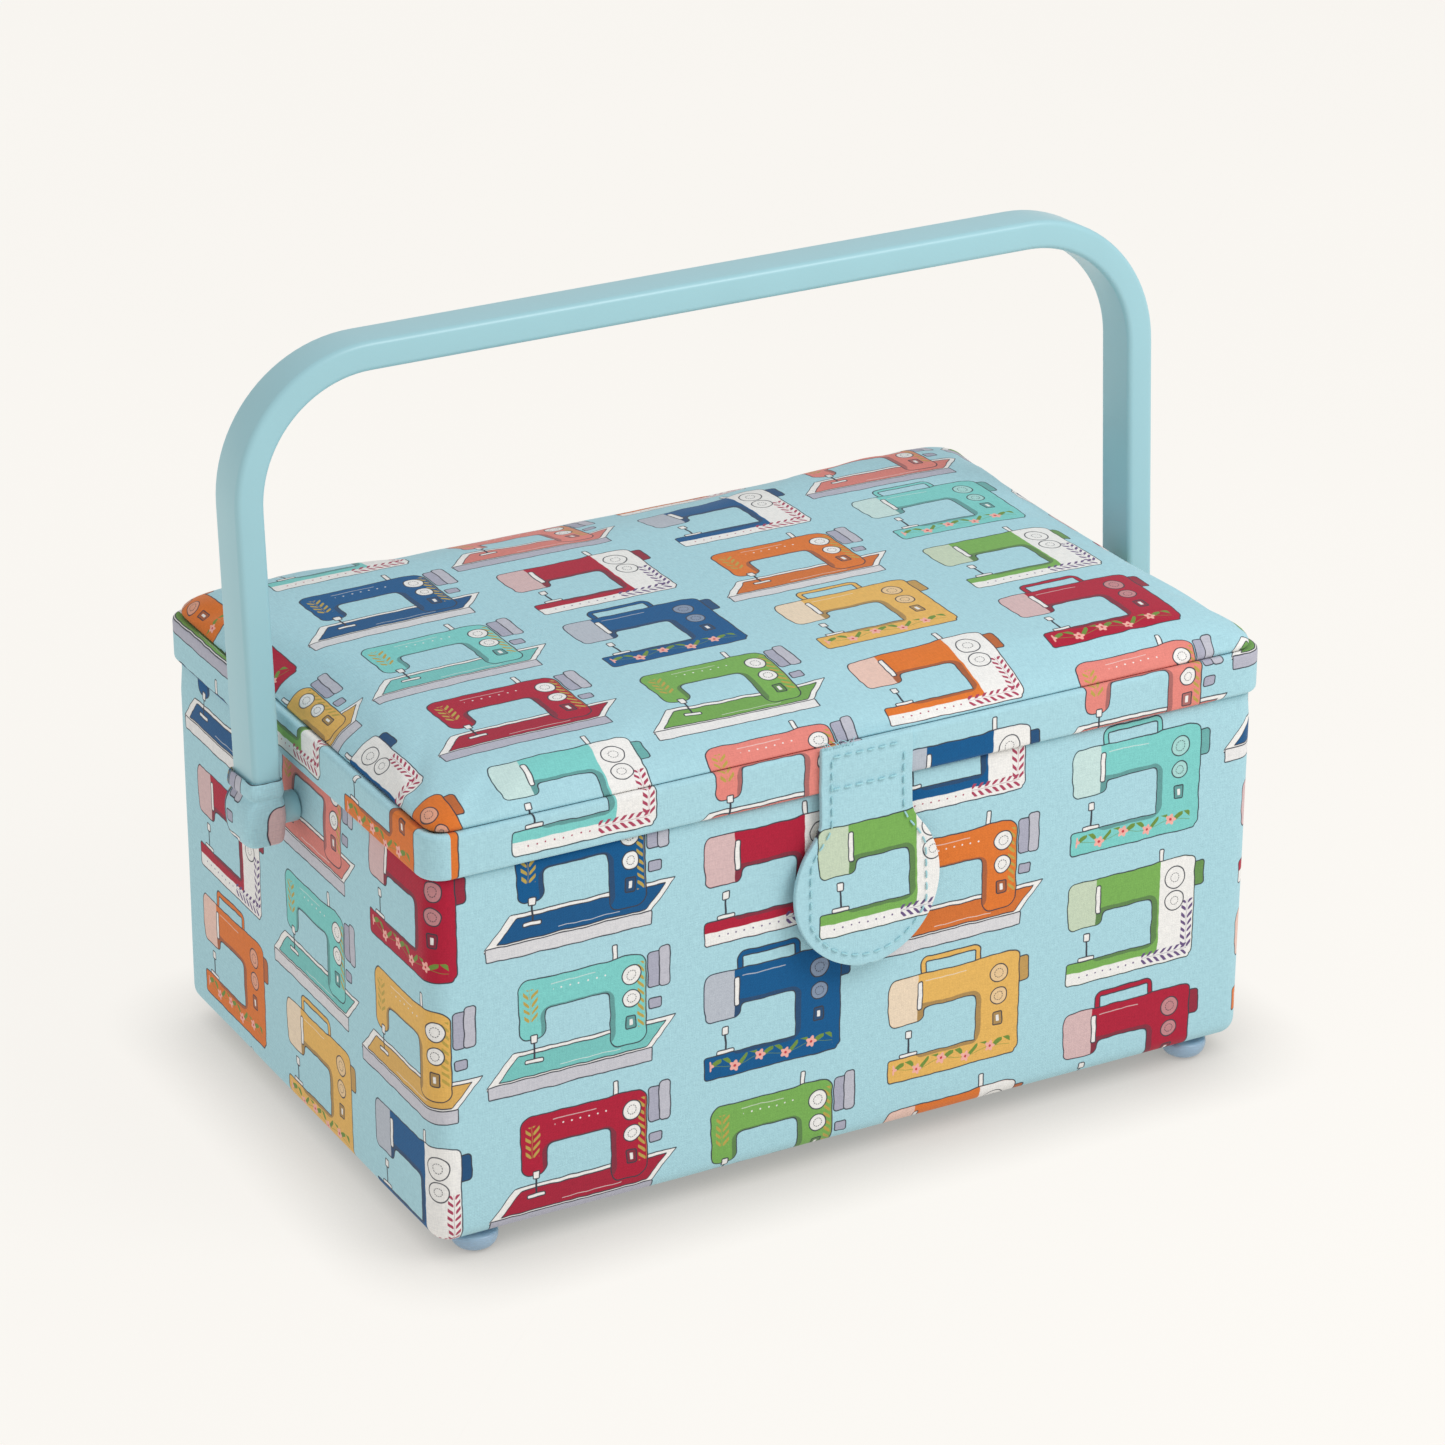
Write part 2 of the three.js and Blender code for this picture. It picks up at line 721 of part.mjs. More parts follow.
function hinges() {
  const set = new THREE.Group();
  for (const [name, side] of SIDES) {
    set.add(
      at(
        [side * HINGE.x, HINGE.y, HINGE.z],
        piece(`${name}_hinge_body_leaf`, hingeLeaf(false), "metal"),
        piece(`${name}_hinge_lid_leaf`, hingeLeaf(true), "metal"),
        piece(`${name}_hinge_pin`, hingePin(), "metal"),
      ),
    );
  }
  SCREW_XS.forEach((x, i) => {
    for (const [leaf, onLid, z] of [
      ["body", false, SCREW.bodyZ],
      ["lid", true, SCREW.lidZ],
    ]) {
      const screw = piece(`${leaf}_leaf_screw_${i + 1}`, hingeScrew(), "metal");
      set.add(at([x, screwFace(onLid), z], screw));
    }
  });
  return set;
}

function lid() {
  const body = new THREE.Group();
  body.add(piece("lid_rim_frame", lidRimFrame(), "card"));
  body.add(piece("lid_top_board", lidTopBoard(), "card"));
  body.add(piece("lid_rim_cover", lidRimCover(), "cloth"));
  body.add(piece("lid_top_cover", lidTopCover(), "cloth"));
  body.add(piece("lid_pad", lidPad(), "foam"));
  body.add(piece("lid_lining", lidLining(), "lining"));
  body.add(piece("lid_pocket", lidPocket(), "lining"));
  body.add(piece("pocket_elastic", pocketElastic(), "elastic"));
  body.add(piece("pincushion", pincushion(), "cloth"));
  body.add(piece("tab_anchor", tabAnchor(), "cloth"));
  return body;
}

function closureTab() {
  const flap = piece("tab_flap", tabFlap(), "cloth");
  const stud = piece("snap_stud", snapStud(), "metal");
  return leaning([0, TAB.y, TAB.foldZ], tabLean, flap, stud);
}

function handle() {
  const bail = piece("handle_bail", handleBail(), "plastic");
  const boots = SIDES.map(([name, side]) => piece(`${name}_boot`, boot(side), "cloth"));
  return leaning([0, PIVOT.y, PIVOT.z], HANDLE.lean, bail, ...boots);
}

function trays() {
  const middle = (TRAY.inner + TRAY.outer) / 2;
  return SIDES.map(([name, side]) => {
    const divide = TRAY.divide[name];
    return at(
      [side * middle, 0, TRAY.bottom],
      piece(`${name}_tray`, tray(), "frosted"),
      piece(`${name}_tray_long_divider`, longDivider(divide), "frosted"),
      ...[-1, 1].map((end) => {
        const place = end < 0 ? "front" : "back";
        return piece(`${name}_tray_${place}_divider`, crossDivider(divide, end), "frosted");
      }),
    );
  });
}

const root = new THREE.Group();
root.name = "sewing_box";
root.add(boxBody(), hinges(), lid(), closureTab(), handle(), ...trays());

export default root;
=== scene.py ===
"""Looks of a fabric-covered sewing box: printed cotton over board, a padded lid, a plastic carry
handle in cloth boots, a stitched closure tab, and a lined inside with two trays. Metres, +Z up."""

from math import cos, exp, pi, radians, sin, sqrt

import bmesh
import bpy
import numpy as np
from mathutils import Matrix, Vector


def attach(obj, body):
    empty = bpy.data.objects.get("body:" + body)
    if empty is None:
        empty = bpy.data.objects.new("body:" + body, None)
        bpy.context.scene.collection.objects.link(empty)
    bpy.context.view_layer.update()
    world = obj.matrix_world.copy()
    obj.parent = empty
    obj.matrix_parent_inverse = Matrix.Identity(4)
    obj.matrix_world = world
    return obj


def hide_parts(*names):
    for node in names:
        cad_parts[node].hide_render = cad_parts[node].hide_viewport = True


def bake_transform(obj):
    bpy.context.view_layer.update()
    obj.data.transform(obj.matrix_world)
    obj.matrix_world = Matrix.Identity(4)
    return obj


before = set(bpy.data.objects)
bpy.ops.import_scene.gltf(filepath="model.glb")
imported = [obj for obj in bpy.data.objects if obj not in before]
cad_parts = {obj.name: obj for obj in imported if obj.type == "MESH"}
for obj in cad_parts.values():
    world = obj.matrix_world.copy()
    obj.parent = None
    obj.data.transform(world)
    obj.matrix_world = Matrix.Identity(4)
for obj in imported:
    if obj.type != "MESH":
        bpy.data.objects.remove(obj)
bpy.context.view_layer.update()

# ---- Driving dimensions, in millimetres ----

MM = 0.001
BODY = {"half": (129, 84), "corner": 6, "base": 6.1, "top": 115, "roll": 5, "hem": 14}
LID = {"half": (129.4, 84.6), "corner": 6, "bottom": 115.4, "top": 128.4, "inside": 124.2, "proud": 0.9}
PAD = {"under": 127.9, "held": 129.5}  # the padded top's underside, and where its swelling starts
# The padded top's outline, as (inset from the rim, height, corner radius).
CROWN = (
    (2.0, 128.2, 6),
    (1.5, 128.9, 6),
    (1.3, 130.1, 6.5),
    (1.9, 131.8, 7.5),
    (3.7, 133.5, 9.5),
    (7.0, 135.1, 12.5),
    (11.5, 136.2, 16),
    (17, 136.9, 19),
    (24, 137.3, 23),
    (32, 137.6, 26),
    (42, 137.8, 28),
    (53, 137.9, 26),
    (64, 137.9, 18),
    (74, 137.9, 9),
    (84.6, 137.9, 0),
)
PIVOT = (0, 103)  # (y, z) of the pivots that the handle swings on
HANDLE = {"leg": 140, "thick": 8.3, "wide": 15.2, "arm": 129, "bend": 41.6, "edge": 1.7, "lean": 3.5}
BOOT = {"in": 134.9, "out": 147.8, "top": 11.5, "bottom": -8.5, "half_top": 9.2, "half_end": 7.4}
SPACER = {"in": 129.4, "out": 134.7, "bore": 2.8, "radius": 4.4}
TAB = {"y": -86.6, "thick": 1.6, "neck": 14.2, "round": 22.8, "top": 129.4, "fold": 117, "end": 63.4}
TAB_LEAN = 2.6  # how far forward of its top the free end hangs
TAB_SHOULDER = radians(28)  # how far up its circle the round end goes over into the sides
TAB_NECK, TAB_SEAM = 107, 126.5  # heights where the neck begins and of the upper stitched line
FOOT = {"x": 114.5, "y": 76}
POCKET = {"centre": (-40, -4), "half": (72, 38), "depth": 6}
CUSHION = {"centre": (78, -4), "radius": 30, "depth": 6}
STITCH = {"length": 2.3, "gap": 1.2, "radius": 0.28, "inset": 3.0}
COVER = {"thick": 0.7, "uneven": 0.2, "wave": 70}  # glued cloth, and how it bulges

# The print's repeat: columns from left to right, each with how far it hangs below the first and
# its machines from the top down, as (colour, kind).
PITCH = (58, 41)
REPEAT = (
    (0, (("aqua", "boxy"), ("blue", "classic"), ("aqua", "classic"), ("red", "classic"))),
    (12, (("pink", "classic"), ("red", "boxy"), ("blue", "carry"), ("green", "classic"))),
    (28, (("blue", "boxy"), ("orange", "classic"), ("mustard", "carry"), ("orange", "boxy"))),
    (12, (("pink", "classic"), ("aqua", "carry"), ("green", "boxy"), ("red", "carry"))),
    (34, (("blue", "classic"), ("red", "boxy"), ("orange", "carry"), ("green", "classic"))),
    (0, (("green", "boxy"), ("pink", "classic"), ("aqua", "classic"), ("mustard", "carry"))),
    (4, (("orange", "carry"), ("red", "carry"), ("mustard", "classic"), ("blue", "boxy"))),
)
PALETTE = {
    "cloth": "#A9D3DD",
    "aqua": "#7CCBC6",
    "blue": "#08578C",
    "red": "#AE1C38",
    "green": "#78AC55",
    "orange": "#DC7630",
    "mustard": "#E3B35F",
    "pink": "#E2867C",
    "white": "#EDEBE8",
    "grey": "#A9A9BA",
    "line": "#3A3D47",
    "leaf": "#6F8F3F",
    "blossom": "#EFAEA3",
    "cherry": "#C23A45",
    "gold": "#B9A04E",
}


def linear(code):
    """A hex colour as linear RGBA."""
    srgb = [int(code[i : i + 2], 16) / 255 for i in (1, 3, 5)]
    return [c / 12.92 if c <= 0.04045 else ((c + 0.055) / 1.055) ** 2.4 for c in srgb] + [1.0]


COLOUR = {name: linear(code) for name, code in PALETTE.items()}

# ---- Node trees written as expressions ----


def feed(tree, socket, value):
    """Links a node's output to an input, or sets the input. A colour may be given by its name in
    the palette, and a place in the plane as two numbers."""
    if isinstance(value, bpy.types.NodeSocket):
        tree.links.new(value, socket)
    elif isinstance(value, str):
        socket.default_value = COLOUR[value]
    elif isinstance(value, tuple) and len(value) == 2:
        socket.default_value = (*value, 0.0)
    else:
        socket.default_value = value


class Nodes:
    """Adds nodes to a tree, each fed with values or with the outputs of other nodes."""

    def __init__(self, tree):
        self.tree = tree

    def add(self, kind, inputs=(), output=0, **settings):
        node = self.tree.nodes.new(kind)
        for name, value in settings.items():
            setattr(node, name, value)
        for key, value in dict(inputs).items():
            feed(self.tree, node.inputs[key], value)
        return node.outputs[output]

    def math(self, operation, *values):
        return self.add("ShaderNodeMath", enumerate(values), operation=operation)

    def plus(self, a, b):
        return self.math("ADD", a, b)

    def sub(self, a, b):
        return self.math("SUBTRACT", a, b)

    def mul(self, a, b):
        return self.math("MULTIPLY", a, b)

    def mul_add(self, a, factor, offset):
        return self.math("MULTIPLY_ADD", a, factor, offset)

    def vector(self, operation, *values):
        output = 1 if operation in ("LENGTH", "DOT_PRODUCT") else 0
        return self.add("ShaderNodeVectorMath", enumerate(values), output, operation=operation)

    def object_place(self):
        return self.add("ShaderNodeTexCoord", output=3)

    def combine(self, x, y, z=0.0):
        return self.add("ShaderNodeCombineXYZ", {0: x, 1: y, 2: z})

    def split(self, vector):
        self.add("ShaderNodeSeparateXYZ", {0: vector})
        return list(self.tree.nodes[-1].outputs)

    def mix(self, factor, a, b, blend="MIX"):
        inputs = {0: factor, 6: a, 7: b}
        return self.add("ShaderNodeMix", inputs, 2, data_type="RGBA", blend_type=blend)

    def choose(self, flag, a, b):
        """Vector a where flag is 0, b where it is 1."""
        return self.add("ShaderNodeMix", {0: flag, 4: a, 5: b}, 1, data_type="VECTOR")

    def ramp01(self, value, low, high):
        inputs = {0: value, 1: low, 2: high, 3: 0.0, 4: 1.0}
        return self.add("ShaderNodeMapRange", inputs)

    def steps(self, value, colours):
        """Constant colour ramp of evenly spaced colours."""
        socket = self.add("ShaderNodeValToRGB", {0: value})
        ramp = socket.node.color_ramp
        ramp.interpolation = "CONSTANT"
        while len(ramp.elements) < len(colours):
            ramp.elements.new(0.5)
        for i, (element, colour) in enumerate(zip(ramp.elements, colours)):
            element.position = i / len(colours)
            element.color = colour
        return socket

    def noise(self, place, scale, detail=2.0, colour=False):
        inputs = {"Vector": place, "Scale": scale, "Detail": detail}
        return self.add("ShaderNodeTexNoise", inputs, 1 if colour else 0)


# ---- The printed pattern ----

INK_EDGE = 0.19  # softness of a printed edge, in mm
LINE = 0.36  # width of a drawn line, in mm


class Drawing(Nodes):
    """Paints flat shapes over each other. Places are in mm from the middle of the motif."""

    def start(self, place, cloth):
        self.place = place
        self.picture = cloth

    def box(self, centre, half, radius, place=None):
        """Distance outside a rounded box."""
        off = self.vector("SUBTRACT", place or self.place, centre)
        past = self.vector("SUBTRACT", self.vector("ABSOLUTE", off), half)
        outside = self.vector("LENGTH", self.vector("MAXIMUM", past, (0.0, 0.0)))
        return self.sub(outside, radius)

    def mask(self, distance, reach=0.0, only=None):
        inside = self.ramp01(distance, reach, reach - INK_EDGE)
        return self.mul(inside, only) if only is not None else inside

    def fill(self, colour, mask):
        self.picture = self.mix(mask, self.picture, colour)

    def inked(self, distance, colour, only=None):
        """A filled shape with a drawn outline."""
        self.fill("line", self.mask(distance, LINE, only))
        self.fill(colour, self.mask(distance, 0.0, only))


def print_cells(n, place):
    """The place within a motif's cell, and the number of its motif in the repeat, from 0 to 1."""
    wobble = n.vector("SUBTRACT", n.noise(place, 0.2, 1.0, colour=True), (0.5, 0.5, 0.5))
    drawn = n.vector("ADD", place, n.vector("MULTIPLY", wobble, (0.9, 0.9)))
    x, y, _ = n.split(drawn)
    column = n.math("FLOOR", n.math("DIVIDE", x, PITCH[0]))
    in_repeat = n.math("FLOORED_MODULO", column, len(REPEAT))
    share = n.mul_add(in_repeat, 1 / len(REPEAT), 0.5 / len(REPEAT))
    hang = n.steps(share, [(drop / PITCH[1],) * 3 + (1,) for drop, _ in REPEAT])
    y = n.mul_add(hang, PITCH[1], y)
    row = n.math("FLOOR", n.math("DIVIDE", y, PITCH[1]))
    middle_x = n.mul_add(column, PITCH[0], PITCH[0] / 2)
    middle_y = n.mul_add(row, PITCH[1], PITCH[1] / 2)
    place = n.combine(n.sub(x, middle_x), n.sub(y, middle_y))
    in_column = n.math("FLOORED_MODULO", n.sub(3.0, row), 4.0)
    number = n.mul_add(in_repeat, 4.0, in_column)
    count = 4 * len(REPEAT)
    return place, n.mul_add(number, 1 / count, 0.5 / count)


def draw_tray_base(n, colour, slab, classic):
    """The classic machine's shallow tray, seen slightly from above."""
    lean = n.vector("DOT_PRODUCT", n.place, (1.0, -0.9))
    _, y, _ = n.split(n.place)
    sheared = n.combine(lean, y)
    well = n.mix(0.12, colour, "line")
    n.inked(n.box((9.6, -11.6), (24.2, 4.2), 0.3, sheared), "white", classic)
    n.inked(n.box((10.0, -11.5), (21.8, 2.9), 0.3, sheared), well, classic)
    n.inked(n.box((-4.0, -17.4), (24.2, 1.6), 0.3), slab, classic)
    glint = n.box((14, -13.4), (9, 0.02), 0.14, sheared)
    n.fill("white", n.mask(glint, 0.0, classic))


def draw_wheel(n, colour, classic):
    """Two plates of a hand wheel behind the pillar, or a small knob on the other kinds."""
    plain = n.sub(1.0, classic)
    n.inked(n.box((21.6, 7.6), (1.4, 2.8), 1.0), n.mix(0.35, colour, "line"), plain)
    for centre, half, tone in (((21.4, 8.0), (0.9, 4.2), 0.0), ((24.4, 8.4), (0.6, 4.9), 0.25)):
        plate = n.box(centre, half, 1.0)
        n.inked(plate, n.mix(tone, "grey", "white"), classic)
    n.inked(n.box((21.6, -2.2), (1.2, 0.8), 0.6), "grey", classic)


def draw_top(n, colour, carry):
    """A carry handle on the portable kind, a thread pin on the others."""
    bar = n.math("ABSOLUTE", n.box((-1.5, 15.0), (7.5, 1.6), 1.4))
    n.fill("line", n.mask(bar, 1.1, carry))
    n.fill(colour, n.mask(bar, 0.7, carry))
    pin = n.box((9.5, 15.4), (0.25, 2.2), 0.35)
    n.inked(pin, "white", n.sub(1.0, carry))


def draw_case(n, colour, pale, classic, boxy):
    """Arm, head, pillar and, except on the classic kind, the foot plate."""
    arm = n.box(
        n.choose(classic, (-1.0, 8.4), (-1.0, 9.0)),
        n.choose(classic, (18.0, 3.4), (14.6, 1.7)),
        n.mul_add(classic, 1.0, 1.8),
    )
    head = n.box(
        n.choose(classic, (-15.6, 5.6), (-15.2, 4.4)),
        n.choose(classic, (3.6, 4.6), (1.2, 6.0)),
        n.mul_add(classic, 0.8, 1.8),
    )
    pillar = n.box(
        n.choose(classic, (14.0, -2.0), (13.4, 0.4)),
        n.choose(classic, (5.2, 13.8), (2.6, 10.2)),
        n.mul_add(classic, 1.0, 1.8),
    )
    plate = n.box(n.choose(classic, (-0.6, -14.8), (0.0, 90.0)), (19.8, 2.6), 0.9)
    case = n.math("SMOOTH_MIN", arm, head, 3.0)
    case = n.math("SMOOTH_MIN", case, pillar, 3.0)
    case = n.math("MINIMUM", case, plate)
    n.inked(case, colour)
    inside = n.mask(case)
    x, y, _ = n.split(n.place)
    hollow = n.box(n.choose(classic, (-2.4, -4.0), (-1.6, -3.4)), (7.8, 5.0), 3.4)
    shade = n.mix(0.5, colour, "line")
    n.fill(shade, n.mul(inside, n.mask(hollow)))
    panel = n.math("MINIMUM", n.sub(9.2, x), n.plus(y, 14.4))
    n.fill("white", n.mul(inside, n.mask(panel, 0.0, boxy)))
    two_tone = n.mul(n.sub(1.0, classic), n.ramp01(y, -5.0, -4.0))
    n.fill(pale, n.mul(inside, n.mask(n.plus(x, 12.0), 0.0, two_tone)))
    n.inked(n.box((-11.3, 7.0), (0.2, 3.8), 0.5), "white", n.sub(1.0, classic))
    glint = n.box((-3.0, 11.3), (6.5, 0.02), 0.2)
    n.fill(pale, n.mask(glint, 0.0, n.sub(1.0, boxy)))
    return inside


def draw_dials(n, colour, pale, boxy, carry):
    knob = n.mix(carry, "white", n.mix(0.5, colour, pale))
    x, y, _ = n.split(n.place)
    for height, size in ((8.0, 2.8), (0.8, 2.5)):
        off = n.combine(n.sub(x, 14.4), n.sub(y, height))
        away = n.vector("LENGTH", off)
        radius = n.mul_add(boxy, 0.5, size)
        rim = n.sub(away, radius)
        n.inked(rim, knob)
        turn = n.math("FRACT", n.mul(n.math("ARCTAN2", *n.split(off)[:2]), 1.9))
        gap = n.math("GREATER_THAN", turn, 0.3)
        mark = n.math("ABSOLUTE", n.sub(away, size * 0.5))
        n.fill("line", n.mask(mark, 0.2, gap))
    plain = n.sub(1.0, boxy)
    n.inked(n.box((14.2, -6.2), (1.0, 1.5), 0.4), n.mix(0.5, colour, "line"), plain)
    n.fill("white", n.mask(n.box((14.2, -6.2), (0.3, 0.8), 0.25), 0.0, plain))


def draw_needle(n):
    n.fill("line", n.mask(n.box((-14.8, -6.4), (0.1, 3.4), 0.2), 0.1))
    n.inked(n.box((-14.8, -4.2), (0.6, 0.8), 0.3), "white")
    n.inked(n.box((-14.8, -10.6), (2.2, 0.1), 0.4), "white")


def spray(n, across, along, only):
    """Pairs of leaves pointing up a stem."""
    side = n.math("ABSOLUTE", across)
    step = n.mul_add(side, -0.9, along)
    step = n.sub(n.math("FLOORED_MODULO", step, 2.3), 1.15)
    leaf = n.box((1.35, 0), (0.62, 0.14), 0.5, n.combine(side, step))
    stem = n.sub(side, 0.14)
    return n.mask(n.math("MINIMUM", leaf, stem), 0.0, only)


def draw_sprays(n, number, inside, classic, boxy):
    """Leaf sprays: gold on the classic kind's arm and pillar, coloured round the white panel."""
    x, y, _ = n.split(n.place)
    ink = n.mix(n.math("PINGPONG", n.mul(number, 14.0), 1.0), "cherry", "blue")
    tint = n.mix(classic, ink, "gold")
    stem = n.mul_add(classic, -34.6, 18.8)
    place = n.choose(classic, (18.8, -7.5), (-15.6, 6.0))
    region = n.box(place, n.choose(classic, (1.6, 7.5), (1.9, 4.6)), 0.3)
    decorated = n.mul(n.plus(classic, boxy), inside)
    region = n.mask(region, 0.0, decorated)
    n.fill(tint, spray(n, n.sub(x, stem), y, region))
    region = n.box((18.0, 1.5), (1.6, 9.5), 0.3)
    region = n.mask(region, 0.0, n.mul(classic, inside))
    n.fill(tint, spray(n, n.sub(x, 18.6), y, region))
    region = n.mask(n.box((11.5, -15.6), (7.5, 1.7), 0.3), 0.0, n.mul(boxy, inside))
    n.fill(tint, spray(n, n.plus(y, 15.4), x, region))
    dot_x = n.sub(n.math("FLOORED_MODULO", x, 2.6), 1.3)
    row = n.mask(n.box((-7.6, -16.0), (9, 0.2), 0.6), 0.0, boxy)
    dots = n.combine(dot_x, n.plus(y, 16.0))
    n.fill(tint, n.mask(n.sub(n.vector("LENGTH", dots), 0.36), 0.0, row))
    row = n.mask(n.box((-1, 9.6), (7.5, 0.2), 0.6), 0.0, classic)
    dots = n.combine(dot_x, n.sub(y, 9.6))
    n.fill("white", n.mask(n.sub(n.vector("LENGTH", dots), 0.34), 0.0, row))


def draw_garland(n, inside, carry):
    """Blossoms and leaves along the portable kind's foot plate."""
    x, y, _ = n.split(n.place)
    along = n.mask(n.box((-0.6, -15.0), (18.6, 1.9), 0.6), 0.0, n.mul(carry, inside))
    wave = n.mul(n.math("SINE", n.mul(x, pi / 8)), 0.7)
    height = n.plus(n.plus(y, 15.0), wave)
    n.fill("leaf", n.mask(n.math("ABSOLUTE", height), 0.16, along))
    step = n.sub(n.math("FLOORED_MODULO", x, 8.0), 4.0)
    for tilt, reach in ((0.7, 2.6), (-0.7, -2.6)):
        leaf = n.combine(step, n.mul_add(step, -tilt, height))
        shape = n.box((reach, -0.9 * tilt, 0), (0.95, 0.16), 0.72, leaf)
        n.fill("leaf", n.mask(shape, 0.0, along))
    blossom = n.combine(step, height)
    away = n.vector("LENGTH", blossom)
    turn = n.mul(n.math("ARCTAN2", height, step), 5.0)
    petals = n.mul_add(n.math("COSINE", turn), -0.32, away)
    n.fill("blossom", n.mask(petals, 1.5, along))
    n.fill("cherry", n.mask(away, 0.5, along))


def make_print_group():
    """Small generic sewing machines in rows, on pale aqua."""
    group = bpy.data.node_groups.new("machine_print", "ShaderNodeTree")
    group.interface.new_socket("Place", in_out="INPUT", socket_type="NodeSocketVector")
    group.interface.new_socket("Color", in_out="OUTPUT", socket_type="NodeSocketColor")
    n = Drawing(group)
    place = n.vector("MULTIPLY", group.nodes.new("NodeGroupInput").outputs[0], (1000, 1000))
    place, number = print_cells(n, place)
    motifs = [motif for _, column in REPEAT for motif in column]
    kinds = {"classic": (1, 0, 0, 1), "boxy": (0, 1, 0, 1), "carry": (0, 0, 1, 1)}
    colour = n.steps(number, [COLOUR[name] for name, _ in motifs])
    n.add("ShaderNodeSeparateColor", {0: n.steps(number, [kinds[kind] for _, kind in motifs])})
    classic, boxy, carry = list(group.nodes[-1].outputs)
    pale = n.mix(0.55, colour, "white")
    shade = n.math("PINGPONG", n.mul(number, 7.0), 1.0)
    slab = n.mix(shade, "white", "grey")
    n.start(place, "cloth")
    draw_tray_base(n, colour, slab, classic)
    draw_wheel(n, colour, classic)
    draw_top(n, colour, carry)
    inside = draw_case(n, colour, pale, classic, boxy)
    draw_sprays(n, number, inside, classic, boxy)
    draw_garland(n, inside, carry)
    draw_dials(n, colour, pale, boxy, carry)
    draw_needle(n)
    output = group.nodes.new("NodeGroupOutput")
    group.links.new(n.picture, output.inputs[0])
    return group


# ---- Materials ----


def new_material(name):
    material = bpy.data.materials.new(name)
    material.use_nodes = True
    return material, Nodes(material.node_tree), material.node_tree.nodes["Principled BSDF"]


def connect(n, shader, **inputs):
    """Links or sets inputs of a shader, written with _ for a space."""
    for name, value in inputs.items():
        feed(n.tree, shader.inputs[name.replace("_", " ")], value)


def bump(n, height, strength, distance):
    return n.add("ShaderNodeBump", {"Height": height, "Strength": strength, "Distance": distance})


def darker(colour, share):
    return [c * share for c in colour[:3]] + [1.0]


def weave(n, place, pitch):
    """Tint and height of a plain weave with slubs, over a place in metres."""
    x, y, _ = n.split(place)
    warp = n.math("SINE", n.mul(x, pi / pitch))
    weft = n.math("SINE", n.mul(y, pi / pitch))
    threads = n.mul(warp, weft)
    long_slubs = n.noise(n.vector("MULTIPLY", place, (420.0, 2600.0, 420.0)), 1.0, 3.0)
    cross_slubs = n.noise(n.vector("MULTIPLY", place, (2600.0, 420.0, 420.0)), 1.0, 3.0)
    slubs = n.mul(n.plus(long_slubs, cross_slubs), 0.5)
    return slubs, n.plus(n.mul(threads, 0.35), slubs)


def cotton(name, colour, pitch=0.0005, printed=None, solid=False):
    """Matt cotton, plain or printed. Its weave follows the print coordinates, or the object's own
    places where it is solid."""
    material, n, shader = new_material(name)
    place = n.object_place() if solid else n.add("ShaderNodeUVMap", uv_map="Print")
    if printed:
        colour = n.add("ShaderNodeGroup", {0: place}, node_tree=printed)
    slubs, height = weave(n, place, pitch)
    worn = n.mix(n.ramp01(slubs, 0.34, 0.66), (0.88, 0.89, 0.9, 1), (1.08, 1.08, 1.07, 1))
    connect(n, shader, Base_Color=n.mix(1.0, colour, worn, "MULTIPLY"))
    connect(n, shader, Normal=bump(n, height, 0.35, 0.00012), Roughness=0.88)
    connect(n, shader, Sheen_Weight=0.14, Sheen_Roughness=0.5, Specular_IOR_Level=0.15)
    return material


def plastic(name, colour, roughness):
    """Moulded plastic with a faint grain and slightly uneven gloss."""
    material, n, shader = new_material(name)
    place = n.object_place()
    cloudy = n.noise(place, 35.0, 3.0)
    tone = n.mix(n.ramp01(cloudy, 0.3, 0.7), darker(colour, 0.97), colour)
    connect(n, shader, Base_Color=tone, Roughness=n.mul_add(cloudy, 0.12, roughness - 0.06))
    connect(n, shader, Normal=bump(n, n.noise(place, 1800.0), 0.2, 0.00002))
    return material


def frosted(name, colour, roughness, transmission):
    material = plastic(name, colour, roughness)
    shader = material.node_tree.nodes["Principled BSDF"]
    shader.inputs["Transmission Weight"].default_value = transmission
    shader.inputs["IOR"].default_value = 1.45
    return material


def metal(name, colour, roughness):
    """Plated steel with fine brushing and slight tarnish."""
    material, n, shader = new_material(name)
    place = n.object_place()
    brushed = n.noise(n.vector("MULTIPLY", place, (200.0, 3000.0, 3000.0)), 1.0, 3.0)
    tarnish = n.ramp01(n.noise(place, 220.0, 4.0), 0.35, 0.65)
    connect(n, shader, Base_Color=n.mix(tarnish, darker(colour, 0.82), colour), Metallic=1.0)
    connect(n, shader, Roughness=n.mul_add(brushed, 0.2, roughness - 0.1))
    connect(n, shader, Normal=bump(n, brushed, 0.15, 0.00003))
    return material


def chipboard(name):
    """Grey-brown pressed board with fibres."""
    material, n, shader = new_material(name)
    fibres = n.noise(n.vector("MULTIPLY", n.object_place(), (300.0, 900.0, 300.0)), 1.0, 5.0)
    tone = n.mix(n.ramp01(fibres, 0.3, 0.7), linear("#8F7E62"), linear("#B8A788"))
    connect(n, shader, Base_Color=tone, Normal=bump(n, fibres, 0.3, 0.0002), Roughness=0.92)
    return material


def ribbed_elastic(name):
    material, n, shader = new_material(name)
    x, y, _ = n.split(n.object_place())
    ribs = n.math("SINE", n.mul(y, pi / 0.0007))
    threads = n.math("SINE", n.mul(x, pi / 0.0004))
    height = n.mul_add(threads, 0.3, ribs)
    # The colour follows the rib height: crests lighter and the grooves between them darker, as painted
    # shade.
    tone = n.mix(n.ramp01(height, -1.0, 1.0), linear("#D9D9D4"), linear("#F6F6F2"))
    connect(n, shader, Base_Color=tone, Normal=bump(n, height, 0.5, 0.0002), Roughness=0.85)
    return material


